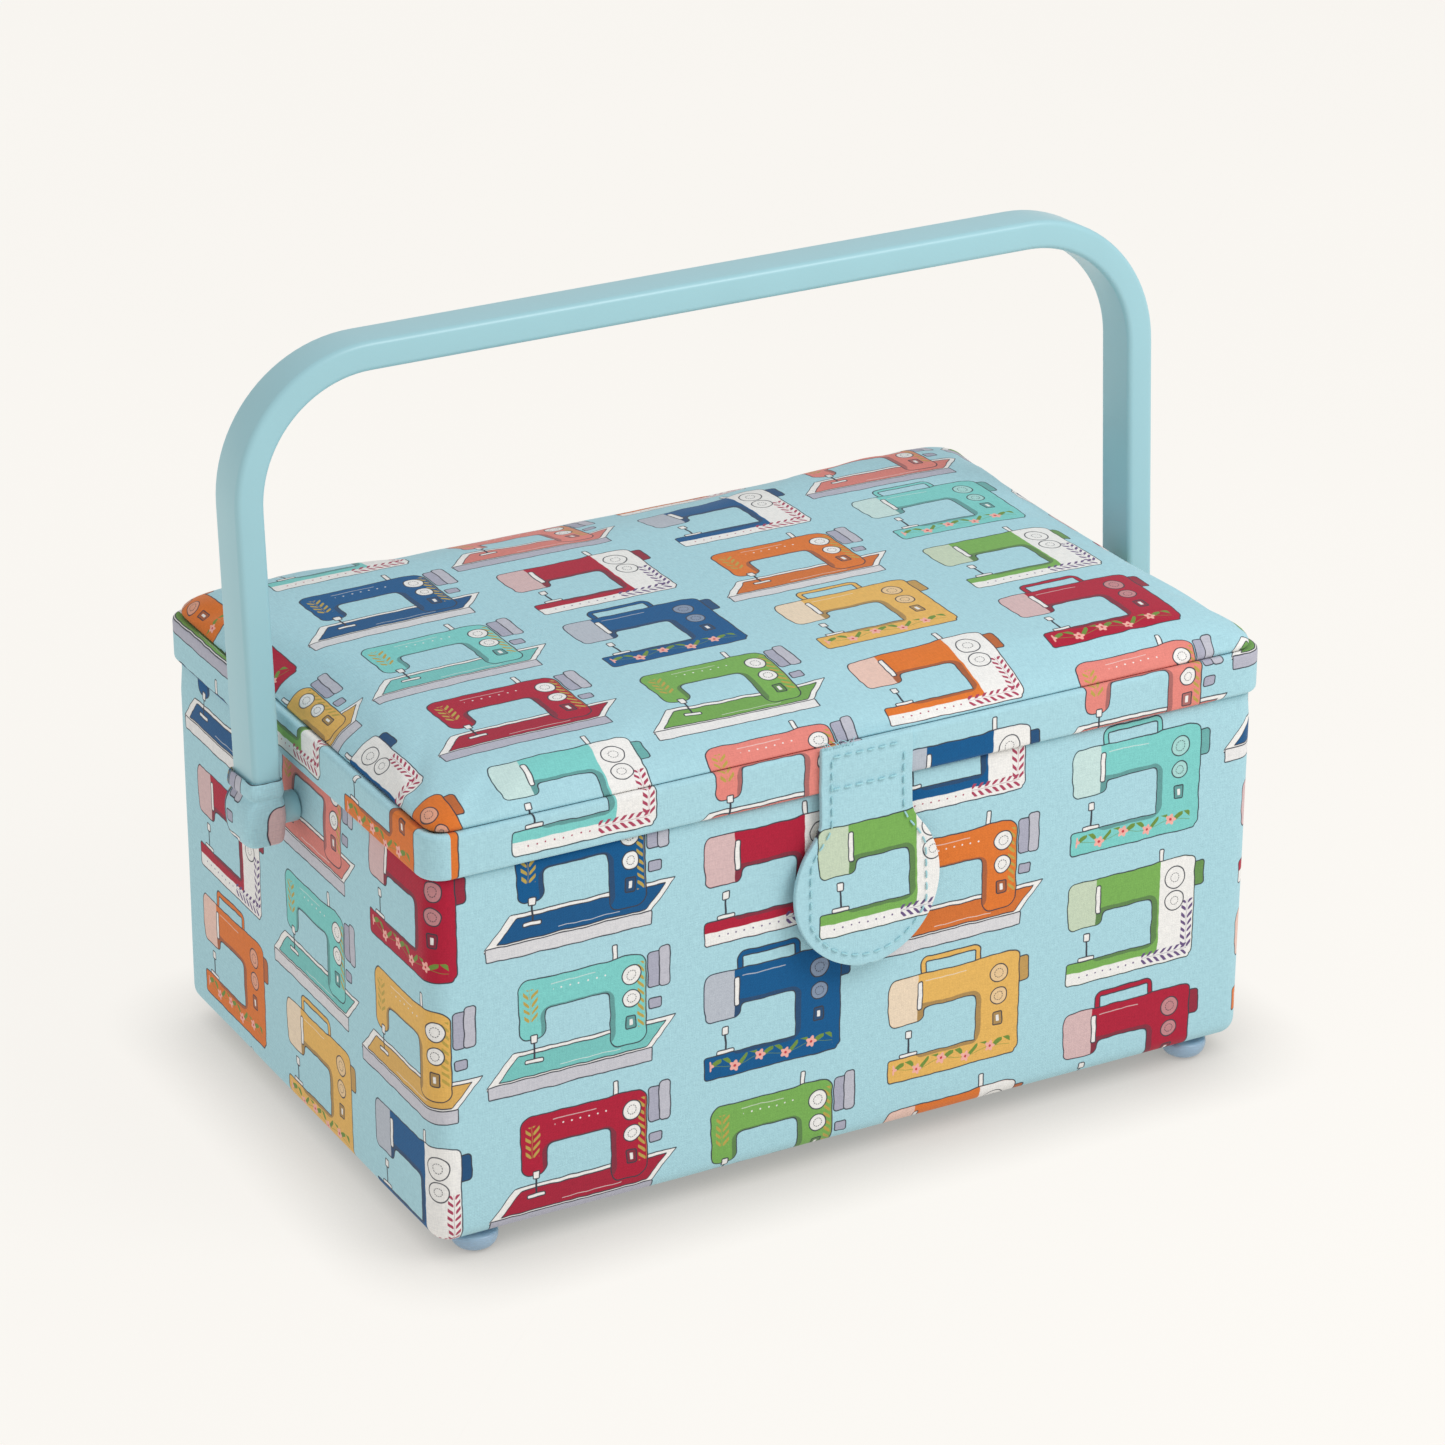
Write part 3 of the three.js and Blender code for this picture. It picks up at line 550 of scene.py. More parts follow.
MATERIAL = {
    "print": cotton("printed_cotton", None, printed=make_print_group()),
    "plain": cotton("plain_cotton", COLOUR["cloth"]),
    "lining": cotton("lining_cotton", linear("#E9E7DE")),
    "lining_cad": cotton("lining_on_card", linear("#E9E7DE"), solid=True),
    "thread": cotton("sewing_thread", linear("#A3D2DA"), pitch=0.0003, solid=True),
    "board": chipboard("chipboard"),
    "handle": plastic("handle_plastic", linear("#9ECBD4"), 0.34),
    "foot": frosted("foot_plastic", linear("#B4D2EA"), 0.3, 0.35),
    "tray": frosted("tray_plastic", linear("#E9F0F2"), 0.34, 0.3),
    "hinge": metal("hinge_metal", linear("#C9C9CC"), 0.34),
    "stud": metal("stud_metal", linear("#D6D6D8"), 0.2),
    "elastic": ribbed_elastic("elastic_band"),
}

# ---- Mesh helpers ----

SIDE_STEPS = (38, 60)  # along a short side and along a long side
CORNER_STEPS = 8


def outline(half, corner, z):
    """Rounded rectangle, anticlockwise from the back of the left side. Millimetres."""
    corner = max(corner, 0)
    w, d = half[0] - corner, half[1] - corner
    arcs = [(-w, d, 90), (-w, -d, 180), (w, -d, 270), (w, d, 0)]
    points = []
    for k, (cx, cy, start) in enumerate(arcs):
        for i in range(CORNER_STEPS):
            a = radians(start + 90 * i / CORNER_STEPS)
            points.append((cx + corner * cos(a), cy + corner * sin(a)))
        a = radians(start + 90)
        here = (cx + corner * cos(a), cy + corner * sin(a))
        nx, ny, _ = arcs[(k + 1) % 4]
        there = (nx + corner * cos(a), ny + corner * sin(a))
        count = SIDE_STEPS[k % 2]
        for i in range(count):
            t = i / count
            points.append((here[0] + (there[0] - here[0]) * t, here[1] + (there[1] - here[1]) * t))
    return np.array([(x, y, z) for x, y in points], float)


def inset_ring(shape, inset, corner, z):
    """The outline of the box or the lid, moved in."""
    width, depth = shape["half"]
    return outline((width - inset, depth - inset), corner, z)


def circle(radius, count, centre):
    turns = [2 * pi * i / count for i in range(count)]
    return [(centre[0] + radius * cos(a), centre[1] + radius * sin(a)) for a in turns]


def rounded_section(half_a, half_b, corner, count):
    """Points (a, b) round a rounded oblong, with some points in the arc of each corner."""
    points = []
    for k, (side_a, side_b) in enumerate(((1, 1), (-1, 1), (-1, -1), (1, -1))):
        for i in range(count):
            turn = radians(90 * (k + i / (count - 1)))
            a = side_a * (half_a - corner) + corner * cos(turn)
            points.append((a, side_b * (half_b - corner) + corner * sin(turn)))
    return points


def caps(count, size):
    """Faces over the first and the last ring of a loft with some count of points."""
    return [tuple(range(size))[::-1], tuple(range(count - size, count))]


def lengths(points, closed):
    """Arc length up to each point, with one more for the way back if closed."""
    loop = np.vstack([points, points[:1]]) if closed else np.asarray(points)
    return np.concatenate([[0], np.cumsum(np.linalg.norm(np.diff(loop, axis=0), axis=1))])


def loft(rings, looped=False, ring_closed=True, u=None, v=None):
    """Quads through rings of equal length, with a (u, v) for each face corner."""
    rings = np.asarray(rings, float)
    count, size = rings.shape[:2]
    u = lengths(rings[0], ring_closed) if u is None else u
    v = np.arange(count + 1) if v is None else v
    faces, corners = [], []
    for k in range(count if looped else count - 1):
        for i in range(size if ring_closed else size - 1):
            j, m = (i + 1) % size, (k + 1) % count
            faces.append((k * size + i, k * size + j, m * size + j, m * size + i))
            corners += [(u[i], v[k]), (u[i + 1], v[k]), (u[i + 1], v[k + 1]), (u[i], v[k + 1])]
    return rings.reshape(-1, 3), faces, corners


def build(name, points, faces, material, corners=None, merge=0.0):
    """An object from millimetre points, smooth shaded, with its print coordinates in metres."""
    mesh = bpy.data.meshes.new(name)
    mesh.from_pydata((np.asarray(points) * MM).tolist(), [], faces)
    if corners is not None:
        layer = mesh.uv_layers.new(name="Print")
        layer.data.foreach_set("uv", (np.asarray(corners, float) * MM).ravel())
    mesh.shade_smooth()
    mesh.materials.append(MATERIAL[material])
    obj = bpy.data.objects.new(name, mesh)
    bpy.context.scene.collection.objects.link(obj)
    if merge:
        tidy_mesh(obj, merge)
    return obj


def tidy_mesh(obj, merge):
    work = bmesh.new()
    work.from_mesh(obj.data)
    bmesh.ops.remove_doubles(work, verts=work.verts, dist=merge * MM)
    bmesh.ops.dissolve_degenerate(work, edges=work.edges, dist=merge * MM / 4)
    bmesh.ops.recalc_face_normals(work, faces=work.faces)
    work.to_mesh(obj.data)
    work.free()


def positions(obj):
    co = np.zeros(len(obj.data.vertices) * 3)
    obj.data.vertices.foreach_get("co", co)
    return co.reshape(-1, 3)


def set_positions(obj, co):
    obj.data.vertices.foreach_set("co", np.asarray(co, float).ravel())
    obj.data.update()


def print_by_position(obj, place):
    """Print coordinates from each vertex's own place, by a function from mm to mm."""
    layer = obj.data.uv_layers.get("Print") or obj.data.uv_layers.new(name="Print")
    uv = place(positions(obj) / MM) * MM
    index = np.zeros(len(obj.data.loops), int)
    obj.data.loops.foreach_get("vertex_index", index)
    layer.data.foreach_set("uv", uv[index].ravel())


def plain_where(obj, test):
    """Plain cloth instead of print on the faces whose middle, in mm, passes the test."""
    obj.data.materials.append(MATERIAL["plain"])
    for polygon in obj.data.polygons:
        polygon.material_index = int(test(polygon.center / MM))


def ripple(points):
    """A smooth uneven offset for each point of a cover, from 0 up."""
    x, y, z = np.asarray(points).T * (2 * pi / COVER["wave"])
    waves = np.sin(x * 0.9 + z * 0.35) + np.sin(y * 1.1 - z * 0.5)
    waves = waves + 0.7 * np.sin(x * 2.3 - y * 1.7 + z * 1.3)
    return COVER["uneven"] * (waves + 2.7) / 5.4


def subdivide(obj):
    modifier = obj.modifiers.new("Smooth", "SUBSURF")
    modifier.levels = modifier.render_levels = 1


def thicken(obj, thickness, offset=-1):
    """Cloth of a thickness in mm, from its modelled outer face inward unless offset is 0."""
    modifier = obj.modifiers.new("Thickness", "SOLIDIFY")
    modifier.thickness = thickness * MM
    modifier.offset = offset


def inflate(obj, pressure, most, fixed, slack=0.0):
    """Swells a padded shape by cloth simulation, with some points held, and keeps the result."""
    rest = positions(obj)
    group = obj.vertex_groups.new(name="held")
    group.add([int(i) for i in np.nonzero(fixed(rest / MM))[0]], 1.0, "REPLACE")
    cloth = obj.modifiers.new("Inflate", "CLOTH")
    cloth.settings.use_pressure = True
    cloth.settings.uniform_pressure_force = pressure
    cloth.settings.effector_weights.gravity = 0
    cloth.settings.vertex_group_mass = "held"
    cloth.settings.shrink_min = -slack
    for number in range(1, 21):
        bpy.context.scene.frame_set(number)
    swollen = obj.evaluated_get(bpy.context.evaluated_depsgraph_get())
    move = positions(swollen) - rest
    size = np.linalg.norm(move, axis=1, keepdims=True)
    move *= np.minimum(1, most * MM / np.maximum(size, 1e-9))
    obj.modifiers.remove(cloth)
    obj.vertex_groups.remove(group)
    bpy.context.scene.frame_set(1)
    set_positions(obj, rest + move)


def arc(centre, radius, start, end, count):
    """Points (inset, height) of a rounded edge in a profile."""
    turns = [radians(start + (end - start) * i / count) for i in range(count + 1)]
    return [(centre[0] + radius * cos(a), centre[1] + radius * sin(a)) for a in turns]


# ---- Covers glued over board ----

# The print's place along the walls and up them, and on the lid's top. On the lid's rim it is as if
# the cloth ran on over the front edge.
BODY_PRINT = (-14, -5)
LID_PRINT = (114, 64)
RIM_PRINT = (LID_PRINT[0] - LID["half"][0], LID_PRINT[1] - LID["half"][1] - 8 - LID["top"])
RIM_FOLD = (-8, 14)  # the cloth of the ends laps round the front corner to here, cut this far along
LID_FLAT = {"height": 137.6, "inset": 24}  # where the lid's flat top goes over into its edge


def shell_band(name, shape, profile, shift, level, fold=(0, 0)):
    """Printed cloth of one thickness along a profile of (inset, height), outer side first and
    closed back along its inner side. shift moves the print along the band, and level is the
    print's height at height 0 of the upright part. fold is a place along the band, and how far the
    print before it is moved on."""
    outer = np.array(profile, float)
    along = np.gradient(outer, axis=0)
    along /= np.linalg.norm(along, axis=1, keepdims=True)
    inner = outer + np.stack([along[:, 1], -along[:, 0]], axis=1) * COVER["thick"]
    rings = []
    for inset, z in [*outer, *inner[::-1]]:
        rings.append(inset_ring(shape, inset, max(shape["corner"] - inset, 0.8), z))
    count = len(outer)
    for k in range(count):
        swell = ripple(rings[k])
        direction = rings[k][:, :2] / np.linalg.norm(rings[k][:, :2], axis=1, keepdims=True)
        rings[k][:, :2] += direction * swell[:, None] * min(1.0, k / 3, (count - 1 - k) / 3)
    run = lengths(rings[count // 2], True)
    left_side = CORNER_STEPS + SIDE_STEPS[0] + CORNER_STEPS / 2
    u = run - run[int(left_side)] + shift
    steps = lengths(outer, False)
    anchor = int(np.argmin(np.abs(outer[:, 1] - outer[:, 1].mean())))
    v_outer = steps - steps[anchor] + outer[anchor, 1] + level
    v = [*v_outer, *v_outer[::-1], v_outer[0]]
    points, faces, corners = loft(rings, looped=True, u=u, v=v)
    corners = np.array(corners).reshape(-1, 4, 2)
    before = corners[:, :, 0].mean(axis=1) < fold[0]
    corners[before, :, 0] += fold[1]
    return build(name, points, faces, "print", corners)


def make_body_cover():
    base, top, roll = BODY["base"], BODY["top"], BODY["roll"]
    profile = [(BODY["hem"], base), (9.5, base)]
    profile += arc((roll, base + roll), roll, 270, 180, 7)
    profile += [(0, z) for z in np.linspace(base + roll + 5, top - 9, 16)]
    profile += [(0.25, top - 6), (0.5, top - 3)]
    profile += arc((1.5, top - 1.0), 1.0, 180, 90, 4)
    cover = shell_band("body_cover_cloth", BODY, profile, *BODY_PRINT)
    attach(cover, "box")
    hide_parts("body_cover")


def make_rim_cover():
    """The lid's upright edge, standing a little proud of the box."""
    bottom, top, proud = LID["bottom"], LID["top"], LID["proud"]
    turned = 3.4  # how far in the cloth's edges are turned
    profile = [(turned, bottom), (1.2 - proud, bottom - 0.05)]
    profile += arc((1.2 - proud, bottom + 1.15), 1.2, 262, 180, 4)
    profile += [(-proud, z) for z in np.linspace(bottom + 2.6, top - 3, 5)]
    profile += arc((1.3 - proud, top - 1.3), 1.3, 180, 70, 6)
    profile += [(turned - 1, top - 0.5), (turned, top - 0.9)]
    cover = shell_band("lid_rim_cloth", LID, profile, *RIM_PRINT, RIM_FOLD)
    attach(cover, "lid")
    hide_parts("lid_rim_cover")


def lid_print(mm):
    """Print over the lid: flat on top and following the cloth down at its edges."""
    x, y, z = mm.T
    drop = np.maximum(0, LID_FLAT["height"] - z) * 0.8
    near_x, near_y = (
        np.maximum(0, np.abs(mm[:, k]) - LID["half"][k] + LID_FLAT["inset"]) for k in (0, 1)
    )
    share = near_x / np.maximum(near_x + near_y, 1e-6)
    u = x + np.sign(x) * drop * share + LID_PRINT[0]
    v = y + np.sign(y) * drop * (1 - share) + LID_PRINT[1]
    return np.stack([u, v], axis=1)


def make_lid_top():
    """The padded top: crowned rings closed underneath, swollen by simulation."""
    (width, depth), low = LID["half"], PAD["under"]
    under = [(depth, low, 0), (50, low, 20), (20, low, 10), (6, low, 6), (3, low, 6)]
    rings = []
    for inset, z, corner in [*under, *CROWN]:
        forward = LID["proud"] * max(0, 1 - inset / 12) if z > low else 0
        size = (width - inset, depth - inset + forward)
        rings.append(outline(size, min(corner, depth - inset), z))
    points, faces, _ = loft(rings)
    top = build("lid_padded_top", points, faces, "print", merge=0.05)
    inflate(top, 3.0, 1.6, lambda mm: mm[:, 2] < PAD["held"], slack=0.012)
    print_by_position(top, lid_print)
    subdivide(top)
    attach(top, "lid")
    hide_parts("lid_top_cover", "lid_pad")


def make_base_cover():
    """Plain cloth glued under the box, its edge covering the hem."""
    edge, z = 7.0, BODY["base"] - 0.1
    profile = [(i, z - 0.7) for i in (BODY["half"][1], 40, 12)]
    profile += [(edge + 0.6, z - 0.65), (edge, z - 0.3), (edge + 0.4, z)]
    rings = [inset_ring(BODY, i, 13 - i, level) for i, level in profile]
    points, faces, corners = loft(rings, u=lengths(rings[0], True), v=np.arange(len(rings)))
    cover = build("base_cloth", points, faces, "plain", corners, merge=0.02)
    print_by_position(cover, lambda mm: mm[:, :2])
    thicken(cover, 0.3)
    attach(cover, "box")
    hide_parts("base_cover")


# ---- Handle and boots ----

BOOT_PRINT = (36, 100.5)  # where the boots' cloth was cut from the print


def leaned(points):
    """Turns upright handle points back about the pivots, to how the handle stands."""
    a = radians(HANDLE["lean"])
    p = np.array(points, float)
    y, z = p[:, 1].copy(), p[:, 2].copy()
    p[:, 1] = PIVOT[0] + y * cos(a) + z * sin(a)
    p[:, 2] = PIVOT[1] - y * sin(a) + z * cos(a)
    return p


def handle_path():
    radius = HANDLE["bend"] - HANDLE["thick"] / 2
    bar = HANDLE["arm"] - HANDLE["thick"] / 2
    bend_x = HANDLE["leg"] - radius
    path = [(HANDLE["leg"], z, 0.0) for z in np.linspace(0, bar - radius - 3, 9)]
    for i in range(25):
        a = pi / 2 * i / 24
        path.append((bend_x + radius * cos(a), bar - radius + radius * sin(a), a))
    path += [(x, bar, pi / 2) for x in np.linspace(bend_x - 8, 0, 9)]
    mirrored = [(-x, z, pi - a) for x, z, a in path[:-1]]
    return path + mirrored[::-1]


def leg_end(section):
    """Rings that round off the leg below the pivot to a half circle."""
    radius = HANDLE["wide"] / 2
    rings = []
    for a in np.linspace(pi / 2 * 0.96, 0.12, 7):
        rings.append([(x, y * cos(a), -radius * sin(a)) for x, y in section])
    return rings


def make_handle():
    section = rounded_section(HANDLE["thick"] / 2, HANDLE["wide"] / 2, HANDLE["edge"], 7)
    rings = []
    for x, z, a in handle_path():
        rings.append([(x + s * cos(a), y, z + s * sin(a)) for s, y in section])
    first = [[(HANDLE["leg"] + x, y, z) for x, y, z in ring] for ring in leg_end(section)]
    last = [[(-HANDLE["leg"] - x, y, z) for x, y, z in ring] for ring in leg_end(section)]
    points, faces, _ = loft([*first, *rings, *last[::-1]])
    faces += caps(len(points), len(section))
    handle = build("handle_bar", leaned(points), faces, "handle", merge=0.01)
    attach(handle, "handle")
    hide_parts("handle_bail")


def boot_ring(side, z, outer, half_y, corner):
    """One level of a cloth boot, in upright handle places: how far out it reaches, and its half
    width along y."""
    inner = BOOT["in"] + 0.3 * (BOOT["out"] - outer)
    middle = side * (inner + outer) / 2
    section = rounded_section((outer - inner) / 2, half_y, corner, 6)
    return [(middle + x, y, z) for x, y in section]


def make_boot(name, side):
    """Cloth cuff: a folded hem band that hugs the leg, then swelling over the pivot's cap and
    tapering to its foot."""
    top, bottom, out = BOOT["top"], BOOT["bottom"], BOOT["out"]
    wide, narrow = BOOT["half_top"], BOOT["half_end"]
    levels = [
        (top - 3, out - 3.3, wide - 1.5, 1.8),
        (top - 0.3, out - 3.2, wide - 1.4, 1.8),
        (top + 0.2, out - 2.8, wide - 1.0, 2.0),
        (top - 0.3, out - 2.3, wide - 0.4, 2.2),
        (top - 2.5, out - 1.9, wide - 0.2, 2.2),
        (top - 4.3, out - 1.8, wide - 0.2, 2.2),
        (top - 4.8, out - 2.8, wide - 1.1, 2.2),
        (top - 5.4, out - 2.3, wide - 0.8, 2.2),
        (top - 7.5, out - 0.9, wide - 0.5, 2.3),
        (top - 10, out - 0.4, wide - 0.6, 2.5),
        (0, out - 0.1, wide - 0.9, 2.6),
        (bottom + 4.5, out - 0.2, narrow + 0.3, 2.8),
        (bottom + 1.8, out - 0.9, narrow - 0.3, 2.9),
        (bottom + 0.5, out - 2.4, narrow - 1.7, 2.4),
        (bottom, out - 4.6, narrow - 4.0, 1.4),
    ]
    rings = np.array([boot_ring(side, *level) for level in levels])
    for k in range(8, len(rings) - 1):
        rings[k][:, 1] += 0.25 * np.sin(rings[k][:, 2] * 0.9 + side)
    around = lengths(rings[6], True)
    points, faces, corners = loft(rings[::-1], u=around, v=[level[0] for level in levels[::-1]] + [0])
    size = len(rings[0])
    faces.append(caps(len(points), size)[0])
    corners += [(0, 0)] * size
    corners = [(u + BOOT_PRINT[0], v + BOOT_PRINT[1]) for u, v in corners]
    cuff = build(f"{name}_cloth_boot", leaned(points), faces, "print", corners)
    thicken(cuff, 0.4)
    subdivide(cuff)
    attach(cuff, "handle")
    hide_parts(f"{name}_boot")


def make_spacer(name, side):
    """A slim turned spacer on the pivot, between leg and box."""
    near, far, bore, radius = SPACER["in"], SPACER["out"], SPACER["bore"], SPACER["radius"]
    levels = [(near, bore), (near + 0.1, radius - 0.3), (near + 0.4, radius)]
    levels += [(far - 0.4, radius), (far - 0.1, radius - 0.3), (far, bore)]
    rings = [[(side * x, *point) for point in circle(r, 32, PIVOT)] for x, r in levels]
    points, faces, _ = loft(rings, looped=True)
    spacer = build(f"{name}_pivot_spacer", points, faces, "handle")
    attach(spacer, "handle_pivots")
    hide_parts(f"{name}_pivot_washer")


# ---- Closure tab ----

TAB_PRINT = (197, -42.5)  # the green machine sits in the round end
TAB_PRINTED = (71.5, 111)  # the heights between which the tab shows its print
OUTWARD = Vector((0, -1, 0))  # the way the tab faces


def tab_y(z):
    """Middle of the tab's thickness: flat on the rim, then hanging a little away from the box."""
    t = np.clip((TAB["fold"] - np.asarray(z, float)) / (TAB["fold"] - TAB["end"]), 0, 1)
    return TAB["y"] - TAB_LEAN * t**1.1


def tab_half_width(z):
    radius = TAB["round"]
    centre = TAB["end"] + radius
    shoulder = centre + radius * sin(TAB_SHOULDER)
    if z <= shoulder:
        return sqrt(max(radius**2 - (z - centre) ** 2, 0))
    t = min((z - shoulder) / (TAB_NECK - shoulder), 1)
    wide = radius * cos(TAB_SHOULDER)
    smooth = t * t * (3 - 2 * t) * 0.65 + 0.35 * sin(t * pi / 2)
    return wide + (TAB["neck"] - wide) * smooth


def tab_levels():
    centre = TAB["end"] + TAB["round"]
    low = [centre - TAB["round"] * cos(a) for a in np.linspace(0.05, pi / 2, 18)]
    return low + list(np.linspace(centre + 2.2, TAB["top"], 22))


def make_tab():
    """One folded cloth tab, from the lid's rim down over the fold to its round end."""
    across = np.sin(np.linspace(-pi / 2, pi / 2, 17))
    rings = []
    for z in tab_levels():
        y = float(tab_y(z))
        dip = 0.35 * exp(-(((z - TAB["fold"]) / 1.1) ** 2)) + 0.3 * exp(-(((z - TAB_SEAM) / 0.9) ** 2))
        half = tab_half_width(z)
        rings.append([(s * half, y + dip + 0.25 * s * s, z) for s in across])
    points, faces, corners = loft(rings, ring_closed=False)
    tab = build("closure_tab_cloth", points, faces, "print", corners)
    print_by_position(tab, lambda mm: mm[:, [0, 2]] + TAB_PRINT)
    plain_where(tab, lambda middle: not TAB_PRINTED[0] < middle.z < TAB_PRINTED[1])
    thicken(tab, TAB["thick"], offset=0)
    subdivide(tab)
    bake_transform(tab)
    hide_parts("tab_anchor", "tab_flap")


def tube(path, radii):
    """A closed thin tube through points, six-sided: its mesh points and faces."""
    turns = [pi / 3 * k for k in range(6)]
    rings = []
    for i, (centre, radius) in enumerate(zip(path, radii)):
        along = path[min(i + 1, len(path) - 1)] - path[max(i - 1, 0)]
        side = along.cross(OUTWARD).normalized()
        up = side.cross(along).normalized()
        rings.append([tuple(centre + (side * cos(a) + up * sin(a)) * radius) for a in turns])
    points, faces, _ = loft(rings)
    return points, faces + caps(len(points), 6)


def join_tubes(name, tubes):
    """Tubes of sewing thread as one mesh."""
    points, faces = [], []
    for tube_points, tube_faces in tubes:
        base = sum(len(p) for p in points)
        points.append(tube_points)
        faces += [tuple(i + base for i in face) for face in tube_faces]
    return build(name, np.vstack(points), faces, "thread")


def stitch(start, end):
    """One stitch, dipping into the cloth at its ends."""
    start, end, size = Vector(start), Vector(end), STITCH["radius"]
    steps = (0, 0.12, 0.3, 0.5, 0.7, 0.88, 1)
    path = [start.lerp(end, t) + OUTWARD * size * (0.9 * sin(pi * t) - 0.35) for t in steps]
    return tube(path, [size * (0.35 if t in (0, 1) else 1) for t in steps])


def tab_stitch_lines():
    """Round the flap inside its edge, and across the neck at the fold and near the top."""
    face, inset = TAB["thick"] / 2 + 0.15, STITCH["inset"]
    centre, reach = TAB["end"] + TAB["round"], TAB["round"] - inset
    heights = np.linspace(TAB["fold"] + 9, centre + 9, 24)
    left = [(inset - tab_half_width(z), z) for z in heights]
    turns = np.linspace(radians(203), radians(337), 30)
    end = [(reach * cos(a), centre + reach * sin(a)) for a in turns]
    rows = [[*left, *end, *((-x, z) for x, z in left[::-1])]]
    rows += [[(inset - TAB["neck"], z), (TAB["neck"] - inset, z)] for z in (TAB["fold"], TAB_SEAM)]
    return [[(x, float(tab_y(z)) - face, z) for x, z in row] for row in rows]


def make_tab_stitches():
    """Running stitches along the tab's stitched lines, as one mesh."""
    long = STITCH["length"]
    tubes = []
    for line in tab_stitch_lines():
        line = np.array(line, float)
        run = lengths(line, False)
        for s in np.arange(0.4, run[-1] - long, long + STITCH["gap"]):
            ends = [[np.interp(t, run, line[:, k]) for k in range(3)] for t in (s, s + long)]
            tubes.append(stitch(*ends))
    stitches = join_tubes("tab_stitches", tubes)
    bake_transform(stitches)


def make_frayed_threads():
    """Loose ends along the left of the tab's upper edge, which is raw."""
    strands = []
    for k in range(11):
        start = Vector((-TAB["neck"] - 0.1 + 0.95 * k, TAB["y"] - 0.7, TAB["top"] - 0.4))
        reach = 1.4 + 1.7 * abs(sin(k * 2.7))
        lean, curl = sin(k * 1.9) * 1.3 - 0.5, cos(k * 3.1)
        path = []
        for t in np.linspace(0, 1, 7):
            away = (lean * t + curl * t * t, -0.25 * sin(3 * t), reach * t * (1.25 - 0.5 * t))
            path.append(start + Vector(away))
        strands.append(tube(path, [0.11] * 6 + [0.05]))
    threads = join_tubes("tab_frayed_threads", strands)
    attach(threads, "lid")


# ---- Feet ----


def make_feet():
    outline_rz = [(0, 0), (1.6, 0), (3.2, 0.02), (4.4, 0.35), (5.4, 1.0), (6.1, 1.9), (6.5, 3.0)]
    outline_rz += [(6.6, 4.2), (6.45, 4.9), (6.0, 5.2), (4, 5.25), (0, 5.25)]
    for name in ("front_left", "front_right", "back_left", "back_right"):
        x = FOOT["x"] if name.endswith("right") else -FOOT["x"]
        y = FOOT["y"] if name.startswith("back") else -FOOT["y"]
        points, faces, _ = loft([[(*point, z) for point in circle(r, 40, (x, y))] for r, z in outline_rz])
        foot = build(f"{name}_dome_foot", points, faces, "foot", merge=0.005)
        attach(foot, "box")
        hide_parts(f"{name}_foot")


# ---- Inside ----


def make_wall_lining():
    inset, floor, top = 3.6, 9.7, BODY["top"]
    profile = [(inset + 0.75, z) for z in np.linspace(floor, top - 1, 14)]
    profile += [(inset + 0.6, top - 0.35), (inset, top), (1.6, top), (1.2, top - 0.2), (1.2, top - 0.6)]
    rings = [inset_ring(BODY, i, max(BODY["corner"] - i, 1.5), z)[::-1] for i, z in profile]
    points, faces, corners = loft(rings, v=[*lengths(profile, False), 0])
    lining = build("wall_lining_cloth", points, faces, "lining", corners)
    thicken(lining, 0.5)
    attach(lining, "box")
    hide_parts("wall_lining")


def quilt_height(x, y):
    """0 at the sewn lines of a diamond quilting, 1 between them."""
    pitch = 34
    return np.sqrt(np.abs(np.sin(pi * (x + y) / pitch) * np.sin(pi * (x - y) / pitch)))


def make_floor_pad():
    room = 4.7  # from the box's outer side to the pad's edge
    middle = BODY["half"][1] - room
    edge_levels = [(83, 9.75), (50, 9.75), (3, 9.75), (0.4, 10.2), (0, 10.9), (0.5, 11.5)]
    levels = edge_levels + [(i, 12.0) for i in np.geomspace(2, middle, 26)]
    rings = np.array([inset_ring(BODY, room + min(i, middle), 4 - i, z) for i, z in levels])
    for k in range(len(edge_levels), len(rings)):
        x, y = rings[k][:, 0], rings[k][:, 1]
        edge = min(1, (levels[k][0] - 1) / 8)
        rings[k][:, 2] += (0.7 * quilt_height(x, y) - 0.1) * edge
    points, faces, _ = loft(rings)
    pad = build("floor_quilted_pad", points, faces, "lining", merge=0.02)
    print_by_position(pad, lambda mm: mm[:, :2])
    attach(pad, "box")
    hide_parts("floor_pad")


def make_lid_lining():
    """Cloth inside the lid: over the board and down the inside of the rim frame."""
    high = LID["inside"]
    profile = [(84.6, high), (60, high), (30, high), (10, high), (5.6, high), (4.6, high - 0.4)]
    profile += [(4.2, high - 1.2), (4.2, 121), (4.2, 118), (4.1, 116.6)]
    rings = []
    for inset, z in profile[::-1]:
        corner = max(LID["corner"] - inset, 1.2) if inset < 84 else 0
        rings.append(inset_ring(LID, inset, corner, z)[::-1])
    points, faces, _ = loft(rings)
    lining = build("lid_lining_cloth", points, faces, "lining", merge=0.02)
    print_by_position(lining, lambda mm: np.stack([mm[:, 0], mm[:, 1] + mm[:, 2]], axis=1))
    thicken(lining, 0.4)
    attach(lining, "lid")
    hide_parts("lid_lining")


